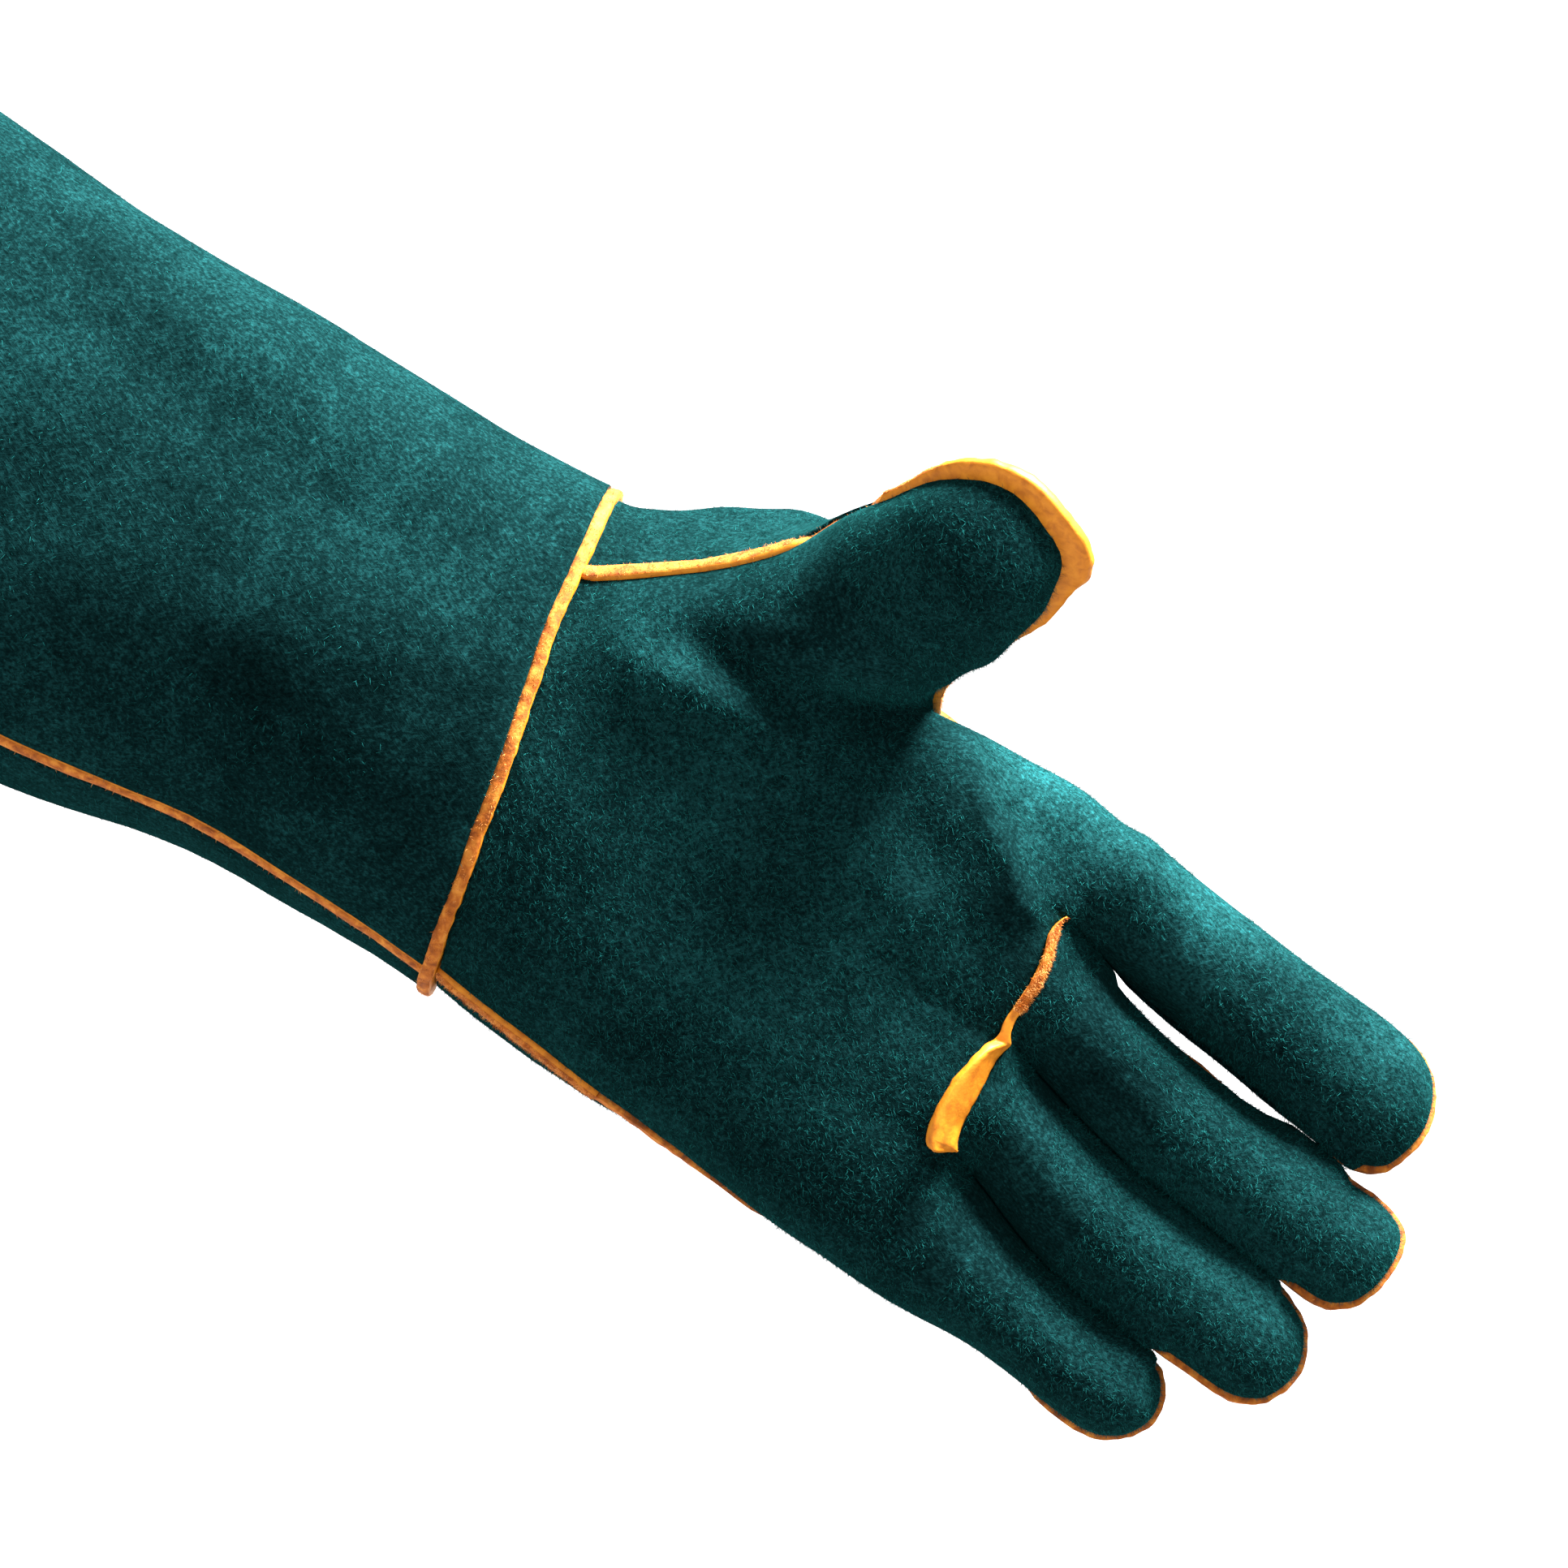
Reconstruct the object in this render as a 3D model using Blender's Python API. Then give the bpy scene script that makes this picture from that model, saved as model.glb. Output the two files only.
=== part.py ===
"""Long leather animal handling glove, left hand, in the form that it has when worn.

The glove is built as it is sewn. A net of points describes its outer face, and the seams are lines of
that net. The net is cut along the seams into leather panels with a real wall, and a welt, a strip of
leather, stands in each seam. The inside is one hollow, from the open mouth to every fingertip.

Frame, in metres: the origin is the middle of the wrist seam, +X points to the fingertips, the palm
faces -Y, and the thumb side is +Z.
"""

import math
from collections import namedtuple

import bmesh
import bpy
import numpy as np

# Driving dimensions of the arm and the palm
GAUNTLET_LENGTH = 0.368
MOUTH_WIDTH = 0.165
MOUTH_DEPTH = 0.098
WRIST_WIDTH = 0.1175
WRIST_DEPTH = 0.070
WRIST_SLANT = 0.010  # how far the wrist seam leans towards the mouth on the thumb side
PALM_LENGTH = 0.128  # from the wrist seam to the seam at the base of the middle fingers
KNUCKLE_DEPTH = 0.043
CROTCH_STEP = 0.005  # from that seam to the forks between the fingers
CROTCH_FROM_AXIS = -0.0046  # height of the middle fork, below the glove's axis

# Driving dimensions of the fingers, from their forks to their tips
INDEX_LENGTH = 0.0878
MIDDLE_LENGTH = 0.0960
RING_LENGTH = 0.0892
LITTLE_LENGTH = 0.0676
INDEX_ROOT = 0.0285
MIDDLE_ROOT = 0.0296
RING_ROOT = 0.0265
LITTLE_ROOT = 0.0380
INDEX_WIDTH = 0.0322
MIDDLE_WIDTH = 0.0279
RING_WIDTH = 0.0290
LITTLE_WIDTH = 0.0234
FINGER_DEPTH = 0.028
FINGER_CURL = 0.010  # how far a finger as long as the middle one bends towards the palm
FINGER_GAP = 0.0013  # free space between two fingers that lie side by side
INDEX_GAP = 0.0023  # the same between index and middle finger, where light falls through

# Driving dimensions of the thumb
THUMB_START = 0.005  # from the wrist seam to where the thumb begins
THUMB_CROTCH = 0.078  # from the wrist seam to the fork of thumb and index finger
THUMB_LENGTH = 0.072
THUMB_WIDTH = 0.040
THUMB_DEPTH = 0.036

# Driving dimensions of the leather
LEATHER = 0.0025
WELT = 0.0022
WELT_PROUD = 0.0014  # how far a welt stands out of its seam
THUMB_WELT_PROUD = 0.0048  # the same over the tip of the thumb
BASE_WELT_PROUD = 0.0052  # the same at the wide end of the strip at the fingers' bases
SEAM_GAP = 0.0003

# How square the sections are, from 2 for an ellipse upwards
WRIST_POWER = 2.1
KNUCKLE_POWER = 2.7
FINGER_POWER = 2.15

# How finely the net is drawn
FINGER_COLUMNS = 6
THUMB_COLUMNS = 8
KNUCKLE_ROWS = 5
CAP_ROWS = 3
GAUNTLET_ROWS = 14
GAUNTLET_COLUMNS = 36

FRONT, BACK = "front", "back"
SEAM_ROOM = WELT / 2 + SEAM_GAP  # what each panel leaves free beside a seam's line

# The gauntlet's sections. along is the share of its length, from the wrist to the mouth. top and
# bottom are bulges as shares of the local half width, front and back shares of the local depth, and
# seam is how far the long seam lies towards the palm side, in degrees.
GauntletRow = namedtuple("GauntletRow", "along top bottom front back seam")
GAUNTLET = (
    GauntletRow(0.00, -0.005, -0.010, 0.50, 0.50, 25),
    GauntletRow(0.11, -0.072, -0.095, 0.51, 0.49, 28),
    GauntletRow(0.18, -0.080, -0.080, 0.50, 0.50, 31),
    GauntletRow(0.26, -0.085, 0.005, 0.50, 0.50, 34),
    GauntletRow(0.36, -0.112, 0.020, 0.51, 0.49, 37),
    GauntletRow(0.50, -0.105, -0.010, 0.50, 0.50, 38),
    GauntletRow(0.75, -0.020, -0.020, 0.50, 0.50, 40),
    GauntletRow(1.00, 0.000, 0.000, 0.50, 0.50, 40),
)

# The palm's sections, from the wrist to the knuckles, in the same way. thumb_seam and little_seam
# are how far the seams at the thumb side and at the little finger's side lie towards the palm.
PalmRow = namedtuple("PalmRow", "along top bottom front back thumb_seam little_seam")
PALM = (
    PalmRow(0.00, 0.00, -0.01, 0.50, 0.50, 49, 25),
    PalmRow(0.20, 0.00, 0.01, 0.50, 0.48, 34, 23),
    PalmRow(0.37, 0.00, 0.00, 0.50, 0.48, 14, 20),
    PalmRow(0.61, -0.03, -0.04, 0.50, 0.50, -8, 6),
    PalmRow(0.80, 0.01, 0.00, 0.48, 0.52, -20, -4),
    PalmRow(1.00, -0.01, 0.025, 0.48, 0.52, -24, -12),
)

# The line between middle and ring finger, which all the fingers follow. along is the share of the
# middle finger's length, and fall how far the line has dropped, as a share of that length.
FanRow = namedtuple("FanRow", "along fall")
FAN = (
    FanRow(0.00, 0.000),
    FanRow(0.30, 0.096),
    FanRow(0.70, 0.147),
    FanRow(1.00, 0.168),
)

# A finger from its fork to where its round tip begins. spread is the share of the way from the
# root's width to the finger's own, turn the share of the seam's turn, gap the share of the free
# space beside the finger, and depth the finger's depth as a share of FINGER_DEPTH.
FingerRow = namedtuple("FingerRow", "along spread turn gap depth")
FINGER = (
    FingerRow(0.00, 0.00, 0.00, 0.00, 1.24),
    FingerRow(0.05, 0.08, 0.15, 0.10, 1.20),
    FingerRow(0.18, 0.35, 0.60, 0.35, 1.12),
    FingerRow(0.38, 0.80, 1.00, 1.00, 1.04),
    FingerRow(0.68, 1.00, 1.00, 0.95, 1.00),
    FingerRow(1.00, 0.98, 0.90, 0.90, 0.97),
)

# curl is how far the finger bends towards the palm, as a share of FINGER_CURL. thumb_side and
# little_side are how far the seams turn towards the palm along the finger, in degrees. gap is the
# free space on the finger's thumb side.
Finger = namedtuple("Finger", "name length root width gap curl thumb_side little_side")
FINGERS = (
    Finger("index", INDEX_LENGTH, INDEX_ROOT, INDEX_WIDTH, 0.0, 0.75, -26, 14),
    Finger("middle", MIDDLE_LENGTH, MIDDLE_ROOT, MIDDLE_WIDTH, INDEX_GAP, 0.95, -16, 16),
    Finger("ring", RING_LENGTH, RING_ROOT, RING_WIDTH, FINGER_GAP, 1.05, -18, 18),
    Finger("little", LITTLE_LENGTH, LITTLE_ROOT, LITTLE_WIDTH, FINGER_GAP, 1.10, -20, -8),
)

# The thumb from its root to where its round tip begins. width, front and back are shares of the
# thumb's own width and depth, turn is the share of the way from the root's direction to the tip's,
# and behind is how far the seams lie behind the thumb's middle, in degrees.
ThumbRow = namedtuple("ThumbRow", "along width front back turn behind")
THUMB = (
    ThumbRow(0.00, 1.62, 0.80, 0.72, 0.00, 0),
    ThumbRow(0.20, 1.26, 0.64, 0.76, 0.30, 3),
    ThumbRow(0.38, 1.13, 0.57, 0.66, 0.55, 8),
    ThumbRow(0.57, 1.07, 0.53, 0.54, 0.80, 12),
    ThumbRow(0.78, 1.03, 0.50, 0.51, 0.95, 12),
    ThumbRow(1.00, 1.00, 0.47, 0.48, 1.00, 6),
)
THUMB_START_AT = (0.010, -0.004, 0.002)  # the thumb's axis at its root, from the middle of its opening
FRONT_OF_ROOT = (0.004, -0.026, -0.004)  # the ball of the thumb, from the middle of its opening
BACK_OF_ROOT = (0.001, 0.018, 0.038)  # the back of its root
THUMB_AT_ROOT = (0.28, -0.52, 0.81)  # the way that the thumb points where it begins
THUMB_AT_TIP = (0.42, -0.66, 0.62)
ACROSS_AT_TIP = (0.96, 0.08, -0.22)  # across the thumb at its tip, towards the fork

# Folds of the hand. Each lies along a line from x0, z0 to x1, z1, as shares of the palm's length and
# of the wrist's width. spread and rise are shares of the wrist's width too, and a dent has a negative rise.
Fold = namedtuple("Fold", "side x0 z0 x1 z1 spread rise")
FOLDS = (
    Fold(FRONT, 0.14, 0.30, 0.50, 0.36, 0.050, -0.022),  # crease under the ball of the thumb
    Fold(FRONT, 0.58, 0.35, 0.82, 0.14, 0.050, -0.026),  # valley beside the pull from the thumb's fork
    Fold(FRONT, 0.68, 0.40, 0.92, 0.20, 0.045, 0.022),
    Fold(FRONT, 0.45, -0.05, 0.80, -0.08, 0.170, -0.040),  # hollow of the palm
    Fold(BACK, 0.50, 0.28, 0.95, 0.25, 0.070, 0.012),
    Fold(BACK, 0.10, -0.30, 0.10, 0.30, 0.060, -0.014),
)

# Folds of the gauntlet, with x as shares of its length and z and the rest of its wrist's width
GAUNTLET_FOLDS = (
    Fold(FRONT, 0.10, 0.36, 0.44, 0.30, 0.060, -0.020),
    Fold(FRONT, 0.06, 0.24, 0.46, 0.10, 0.085, 0.022),
    Fold(FRONT, 0.10, -0.20, 0.34, -0.06, 0.110, -0.020),
    Fold(FRONT, 0.52, -0.30, 0.80, 0.10, 0.090, 0.016),
    Fold(BACK, 0.05, 0.10, 0.30, -0.25, 0.090, -0.022),
    Fold(BACK, 0.40, -0.10, 0.75, 0.25, 0.090, 0.018),
)


def vector(values):
    return np.array(values, float)


def unit(v):
    return v / np.linalg.norm(v)


WRIST_AHEAD = unit(vector((1, 0, 2 * WRIST_SLANT / WRIST_WIDTH)))  # square to the wrist seam


def read(table, along, column):
    """The value of a table's column at this share of the way, on a smooth curve through the rows."""
    at = [row.along for row in table]
    values = [getattr(row, column) for row in table]
    slopes = np.gradient(values, at)
    along = min(max(along, at[0]), at[-1])
    i = min(np.searchsorted(at, along, side="right") - 1, len(at) - 2)
    step = at[i + 1] - at[i]
    u = (along - at[i]) / step
    return (
        (1 + 2 * u) * (1 - u) ** 2 * values[i]
        + u * (1 - u) ** 2 * step * slopes[i]
        + u * u * (3 - 2 * u) * values[i + 1]
        - u * u * (1 - u) * step * slopes[i + 1]
    )


def between(a, b, share):
    return a + (b - a) * share


def eased(share):
    share = min(max(share, 0.0), 1.0)
    return share * share * (3 - 2 * share)


Oval = namedtuple("Oval", "middle half front back power")


def on_oval(oval, angle):
    """Depth and height of an oval's point. Angle 0 is its top, and 90 degrees its palm side."""
    across, deep = math.cos(angle), math.sin(angle)
    y = abs(deep) ** (2 / oval.power) * (oval.front if deep > 0 else oval.back)
    z = math.copysign(abs(across) ** (2 / oval.power), across)
    return -math.copysign(y, deep), oval.middle + oval.half * z


def seam_to_seam(side, angle, upper, lower, near_upper, near_lower):
    """An oval's angle over one side, from 0 at its top to half a turn, drawn towards its two seams.

    The seams lie upper and lower degrees towards the palm, and near_upper and near_lower say how much
    of that this point follows.
    """
    turned = near_upper * math.radians(upper) - near_lower * math.radians(lower)
    return turned + (angle if side == FRONT else -angle)


# The fingers lie side by side, each as far from its neighbour as their widths ask.

ROOT_SUM = sum(finger.root for finger in FINGERS)
KNUCKLE_TOP = CROTCH_FROM_AXIS + MIDDLE_ROOT + INDEX_ROOT
KNUCKLE_BOTTOM = KNUCKLE_TOP - ROOT_SUM
CROTCH_X = PALM_LENGTH + CROTCH_STEP


def offset_from_fan(number, along):
    """Height of a finger's middle above the line between middle and ring finger."""
    spread = read(FINGER, along, "spread")
    widths = [between(f.root, f.width, spread) for f in FINGERS]
    gaps = [f.gap * read(FINGER, along, "gap") for f in FINGERS]
    first = 2  # the ring finger is the first one below the line
    if number < first:
        inner = sum(widths[number + 1 : first]) + sum(gaps[number + 1 : first + 1])
        return inner + widths[number] / 2 - gaps[first] / 2
    outer = sum(widths[first:number]) + sum(gaps[first : number + 1])
    return -outer - widths[number] / 2 + gaps[first] / 2


def fan_height(x):
    along = (x - CROTCH_X) / MIDDLE_LENGTH
    return CROTCH_FROM_AXIS - MIDDLE_LENGTH * read(FAN, along, "fall")


def cap_length(finger):
    return finger.width / 2


def finger_oval(number, along):
    finger = FINGERS[number]
    spread = read(FINGER, along, "spread")
    x = CROTCH_X + along * (finger.length - cap_length(finger))
    return x, Oval(
        fan_height(x) + offset_from_fan(number, along),
        between(finger.root, finger.width, spread) / 2,
        FINGER_DEPTH * read(FINGER, along, "depth") / 2,
        FINGER_DEPTH * read(FINGER, along, "depth") / 2,
        FINGER_POWER,
    )


def finger_seams(number, along):
    """How far the finger's two seams are turned towards the palm, in degrees."""
    finger = FINGERS[number]
    turn = read(FINGER, along, "turn")
    at_palm = PALM[-1]
    upper_root = at_palm.thumb_seam if number == 0 else 0
    lower_root = at_palm.little_seam if number == len(FINGERS) - 1 else 0
    upper = between(upper_root, finger.thumb_side * turn, min(1, turn * 2))
    lower = between(lower_root, finger.little_side * turn, min(1, turn * 2))
    return upper, lower


def cap_share(row, column, columns):
    """A point of a round tip's half as shares of its length and half width, from square rows and columns."""
    ahead = math.sin(math.pi / 2 * row / CAP_ROWS)
    aside = math.cos(math.pi * column / columns)
    return ahead * math.sqrt(1 - aside**2 / 2), aside * math.sqrt(1 - ahead**2 / 2)


def finger_point(number, side, row, column):
    """A point of a finger: rows of FINGER first, and then the rows of its round tip."""
    finger = FINGERS[number]
    tube_rows = len(FINGER) - 1
    if row <= tube_rows:
        along = FINGER[row].along
        x, oval = finger_oval(number, along)
        upper, lower = finger_seams(number, along)
        share = column / FINGER_COLUMNS
        angle = seam_to_seam(side, math.pi * share, upper, lower, 1 - share, share)
        y, z = on_oval(oval, angle)
    else:
        x, oval = finger_oval(number, 1.0)
        upper, lower = finger_seams(number, 1.0)
        ahead, aside = cap_share(row - tube_rows, column, FINGER_COLUMNS)
        slice_size = math.sqrt(1 - ahead**2)
        turn = math.acos(max(-1, min(1, aside / max(slice_size, 1e-9)))) / math.pi
        angle = seam_to_seam(side, math.pi * turn, upper, lower, 1 - turn, turn)
        y, z = on_oval(oval._replace(middle=0), angle)
        y, z = y * slice_size, z * slice_size
        x += ahead * cap_length(finger)
        z += fan_height(x) + offset_from_fan(number, 1.0)
    curl = FINGER_CURL * finger.curl * ((x - CROTCH_X) / MIDDLE_LENGTH) ** 1.5
    return vector((x, y - curl, z))


# The palm's rows run from the wrist seam to the forks of the fingers.

THUMB_FIRST_ROW = 1
THUMB_LAST_ROW = THUMB_FIRST_ROW + THUMB_COLUMNS
SEAM_ROW = THUMB_LAST_ROW + KNUCKLE_ROWS  # the seam at the base of the middle fingers
CROTCH_ROW = SEAM_ROW + 1
PALM_COLUMNS = FINGER_COLUMNS * len(FINGERS)
SET_IN = (FINGER_COLUMNS, 3 * FINGER_COLUMNS)  # columns of the two middle fingers
SEAM_REACH = 0.18  # share of the palm's width over which a seam's turn dies out at the knuckles


def palm_x(row):
    if row <= THUMB_FIRST_ROW:
        return THUMB_START * row / THUMB_FIRST_ROW
    if row <= THUMB_LAST_ROW:
        share = (row - THUMB_FIRST_ROW) / THUMB_COLUMNS
        return between(THUMB_START, THUMB_CROTCH, share)
    if row <= SEAM_ROW:
        share = (row - THUMB_LAST_ROW) / KNUCKLE_ROWS
        return between(THUMB_CROTCH, PALM_LENGTH, share)
    return CROTCH_X


def palm_oval(along):
    """The palm's section at this share of its length, with no grooves between the fingers."""
    top = between(WRIST_WIDTH / 2, KNUCKLE_TOP, along)
    bottom = between(-WRIST_WIDTH / 2, KNUCKLE_BOTTOM, along)
    depth = between(WRIST_DEPTH, KNUCKLE_DEPTH, eased(along))
    half = (top - bottom) / 2
    top += half * read(PALM, along, "top")
    bottom -= half * read(PALM, along, "bottom")
    return Oval(
        (top + bottom) / 2,
        (top - bottom) / 2,
        depth * read(PALM, along, "front"),
        depth * read(PALM, along, "back"),
        between(WRIST_POWER, KNUCKLE_POWER, eased(along)),
    )


def knuckle_angle(column):
    """The angle of a column's place on its finger, in the section at the knuckles."""
    number = min(column // FINGER_COLUMNS, len(FINGERS) - 1)
    within = (column - number * FINGER_COLUMNS) / FINGER_COLUMNS
    root = FINGERS[number].root
    top = KNUCKLE_TOP - sum(f.root for f in FINGERS[:number])
    height = top - root / 2 * (1 - math.cos(math.pi * within))
    share = 2 * (height - KNUCKLE_BOTTOM) / ROOT_SUM - 1
    share = math.copysign(min(1, abs(share)) ** (KNUCKLE_POWER / 2), share)
    return math.acos(share)


def palm_point(side, row, column):
    x = palm_x(row)
    along = min(1, x / PALM_LENGTH)
    oval = palm_oval(along)
    thumb_seam = read(PALM, along, "thumb_seam")
    little_seam = read(PALM, along, "little_seam")
    share = column / PALM_COLUMNS
    near_knuckles = eased(along)
    reach = between(1, SEAM_REACH, near_knuckles)
    angle = between(math.pi * share, knuckle_angle(column), near_knuckles)
    near_upper, near_lower = max(0, 1 - share / reach), max(0, 1 - (1 - share) / reach)
    angle = seam_to_seam(side, angle, thumb_seam, little_seam, near_upper, near_lower)
    y, z = on_oval(oval, angle)
    number = min(column // FINGER_COLUMNS, len(FINGERS) - 1)
    finger_y, finger_z = finger_point(number, side, 0, column - number * FINGER_COLUMNS)[1:]
    groove = 1.0 if row == CROTCH_ROW else 0.10 * eased((along - 0.62) / 0.38)
    y, z = between(y, finger_y, groove), between(z, finger_z, groove)
    slant = WRIST_SLANT * max(0, 1 - x / THUMB_CROTCH) * z / (WRIST_WIDTH / 2)
    return vector((x - slant, y, z))


# The thumb grows out of an opening in the seam at the thumb side.


def thumb_opening():
    """The two ends of the thumb's opening in the seam: near the wrist, and in the fork."""
    return palm_point(FRONT, THUMB_FIRST_ROW, 0), palm_point(FRONT, THUMB_LAST_ROW, 0)


def thumb_frame(turn):
    """Along, across and out of the thumb's pad, at this share of the way from its root to its tip."""
    first, last = thumb_opening()
    ahead = unit(between(vector(THUMB_AT_ROOT), vector(THUMB_AT_TIP), turn))
    across = between(unit(last - first), unit(vector(ACROSS_AT_TIP)), turn)
    across = unit(across - ahead * across.dot(ahead) * min(1, turn * 2))
    return ahead, across, unit(np.cross(across, ahead))


def thumb_tube():
    return THUMB_LENGTH - THUMB_WIDTH * 0.54


def thumb_middle(along):
    first, last = thumb_opening()
    middle = (first + last) / 2 + vector(THUMB_START_AT)
    steps = 12
    for step in range(steps):
        turn = read(THUMB, along * (step + 0.5) / steps, "turn")
        middle = middle + thumb_frame(turn)[0] * thumb_tube() * along / steps
    return middle


def thumb_root_point(side, share):
    first, last = thumb_opening()
    bulge = vector(FRONT_OF_ROOT if side == FRONT else BACK_OF_ROOT)
    aside = (1 - math.cos(math.pi * share)) / 2
    return between(first, last, aside) + bulge * math.sin(math.pi * share)


def thumb_point(side, row, column):
    tube_rows = len(THUMB) - 1
    share = column / THUMB_COLUMNS
    if row == 0:
        return thumb_root_point(side, share)
    spec = THUMB[min(row, tube_rows)]
    ahead, across, out = thumb_frame(spec.turn)
    middle = thumb_middle(spec.along)
    size, forward = 1.0, 0.0
    if row > tube_rows:
        forward, aside = cap_share(row - tube_rows, column, THUMB_COLUMNS)
        size = math.sqrt(1 - forward**2)
        share = math.acos(max(-1, min(1, aside / max(size, 1e-9)))) / math.pi
    behind = math.radians(spec.behind)
    if side == FRONT:
        angle = between(-behind, math.pi + behind, share)
    else:
        angle = between(-behind, behind - math.pi, share)
    aside, deep = -math.cos(angle) * size, math.sin(angle) * size
    depth = THUMB_DEPTH * (spec.front if deep > 0 else spec.back)
    middle = middle + ahead * forward * (THUMB_LENGTH - thumb_tube())
    return middle + across * spec.width * THUMB_WIDTH / 2 * aside + out * depth * deep


# The net: every point once, under a key that both sides of a seam share.


def palm_key(side, row, column):
    outside_thumb = not THUMB_FIRST_ROW < row < THUMB_LAST_ROW
    on_edge = column == PALM_COLUMNS or (column == 0 and outside_thumb)
    on_fork = row == CROTCH_ROW and column % FINGER_COLUMNS == 0
    return ("palm", "seam" if on_edge or on_fork else side, row, column)


def finger_key(number, side, row, column):
    if row == 0:
        return palm_key(side, CROTCH_ROW, number * FINGER_COLUMNS + column)
    last_row = len(FINGER) - 1 + CAP_ROWS
    on_seam = column in (0, FINGER_COLUMNS) or row == last_row
    return (FINGERS[number].name, "seam" if on_seam else side, row, column)


def thumb_key(side, row, column):
    if row == 0:
        return palm_key(side, THUMB_FIRST_ROW + column, 0)
    last_row = len(THUMB) - 1 + CAP_ROWS
    on_seam = column in (0, THUMB_COLUMNS) or row == last_row
    return ("thumb", "seam" if on_seam else side, row, column)


def gauntlet_key(row, column):
    return ("gauntlet", "wall", row, column % GAUNTLET_COLUMNS)


class Net:
    """Points by key, and the four-cornered cells of each part, with their corners' numbers."""

    def __init__(self):
        self.points = []
        self.number = {}
        self.cells = {}

    def put(self, key, point):
        if key not in self.number:
            self.number[key] = len(self.points)
            self.points.append(point)
        return self.number[key]

    def grid(self, name, side, rows, columns, key, point):
        """Adds a sheet of cells whose corners come from key(side, row, column), facing out."""
        at = {
            (r, c): self.put(key(side, r, c), point(side, r, c))
            for r in range(rows + 1)
            for c in range(columns + 1)
        }
        for r in range(rows):
            for c in range(columns):
                cell = (at[r, c], at[r, c + 1], at[r + 1, c + 1], at[r + 1, c])
                self.cells[name, side, r, c] = cell if side == FRONT else cell[::-1]


def hand_net():
    net = Net()
    for side in (FRONT, BACK):
        net.grid("palm", side, CROTCH_ROW, PALM_COLUMNS, palm_key, palm_point)
        for number, finger in enumerate(FINGERS):
            net.grid(
                finger.name,
                side,
                len(FINGER) - 1 + CAP_ROWS,
                FINGER_COLUMNS,
                lambda s, r, c, n=number: finger_key(n, s, r, c),
                lambda s, r, c, n=number: finger_point(n, s, r, c),
            )
        rows = len(THUMB) - 1 + CAP_ROWS
        net.grid("thumb", side, rows, THUMB_COLUMNS, thumb_key, thumb_point)
    net.points = np.array(net.points)
    return net


def open_thumb_root(net):
    """Draws the palm's points near the thumb out to its root, so that the ball of the thumb forms."""
    reach = PALM_COLUMNS * 0.42
    for side in (FRONT, BACK):
        for row in range(THUMB_FIRST_ROW + 1, THUMB_LAST_ROW):
            share_row = row - THUMB_FIRST_ROW
            edge = net.number[palm_key(side, row, 0)]
            pull = thumb_point(side, 0, share_row) - palm_point(side, row, 0)
            for column in range(1, int(reach)):
                number = net.number[palm_key(side, row, column)]
                net.points[number] += pull * (1 - eased(column / reach)) ** 1.3
            net.points[edge] = thumb_point(side, 0, share_row)


def neighbours(cells, count):
    pairs = set()
    for cell in cells:
        for a, b in zip(cell, cell[1:] + cell[:1]):
            pairs.add((min(a, b), max(a, b)))
    pairs = np.array(sorted(pairs))
    ends = np.concatenate([pairs, pairs[:, ::-1]])
    return ends, np.bincount(ends[:, 0], minlength=count)


def smooth(net, strength, rounds):
    """Moves each point towards the mean of its neighbours, as far as its strength says."""
    ends, degree = neighbours(list(net.cells.values()), len(net.points))
    for _ in range(rounds):
        mean = np.zeros_like(net.points)
        np.add.at(mean, ends[:, 0], net.points[ends[:, 1]])
        mean /= degree[:, None]
        net.points += (mean - net.points) * strength[:, None]


def blending_strength(net):
    """Full where thumb, fingers and palm run into each other, and none at the wrist and the tips."""
    strength = np.zeros(len(net.points))
    for (part, _, row, column), number in net.number.items():
        if part == "thumb":
            on_seam = column in (0, THUMB_COLUMNS)
            strength[number] = max(0.0, 0.55 - 0.16 * row) * (0.25 if on_seam else 1.0)
        elif part == "palm" and THUMB_FIRST_ROW < row < THUMB_LAST_ROW:
            strength[number] = 0.55 * (1 - eased(column / PALM_COLUMNS * 1.6))
        elif part == "palm" and SEAM_ROW - 1 <= row <= SEAM_ROW:
            strength[number] = 0.12
    return strength


def folding_strength(net):
    """Where the leather folds so tightly that its normals need to be evened out."""
    strength = np.zeros(len(net.points))
    for (part, _, row, column), number in net.number.items():
        near_fork = part == "thumb" and row < 3 and column > THUMB_COLUMNS - 3
        near_fork |= part == "palm" and abs(row - THUMB_LAST_ROW) < 3 and column < 3
        strength[number] = 0.6 if near_fork else 0.0
    return strength


def to_units(rows):
    return rows / np.maximum(np.linalg.norm(rows, axis=1), 1e-12)[:, None]


def normals_of(points, cells):
    """Outward direction at each point, from all the cells that meet there."""
    total = np.zeros_like(points)
    for cell in cells:
        a, b, c, d = (points[i] for i in cell)
        facing = np.cross(c - a, d - b)
        for i in cell:
            total[i] += facing
    return to_units(total)


def even_out(normals, cells, strength, rounds):
    """Turns each normal towards those around it, so that a wall doesn't cross itself in a tight fold."""
    ends, degree = neighbours(cells, len(normals))
    for _ in range(rounds):
        mean = np.zeros_like(normals)
        np.add.at(mean, ends[:, 0], normals[ends[:, 1]])
        normals += (mean / degree[:, None] - normals) * strength[:, None]
        normals[:] = to_units(normals)


def fold_height(fold, points, length, width):
    """How far each point rises for one fold, by its distance from the fold's line."""
    start = vector((fold.x0 * length, fold.z0 * width))
    way = vector((fold.x1 * length, fold.z1 * width)) - start
    flat = points[:, [0, 2]] - start
    share = np.clip(flat @ way / way.dot(way), 0, 1)
    distance = np.linalg.norm(flat - share[:, None] * way, axis=1)
    return fold.rise * width * np.exp(-((distance / (fold.spread * width)) ** 2))


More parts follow.
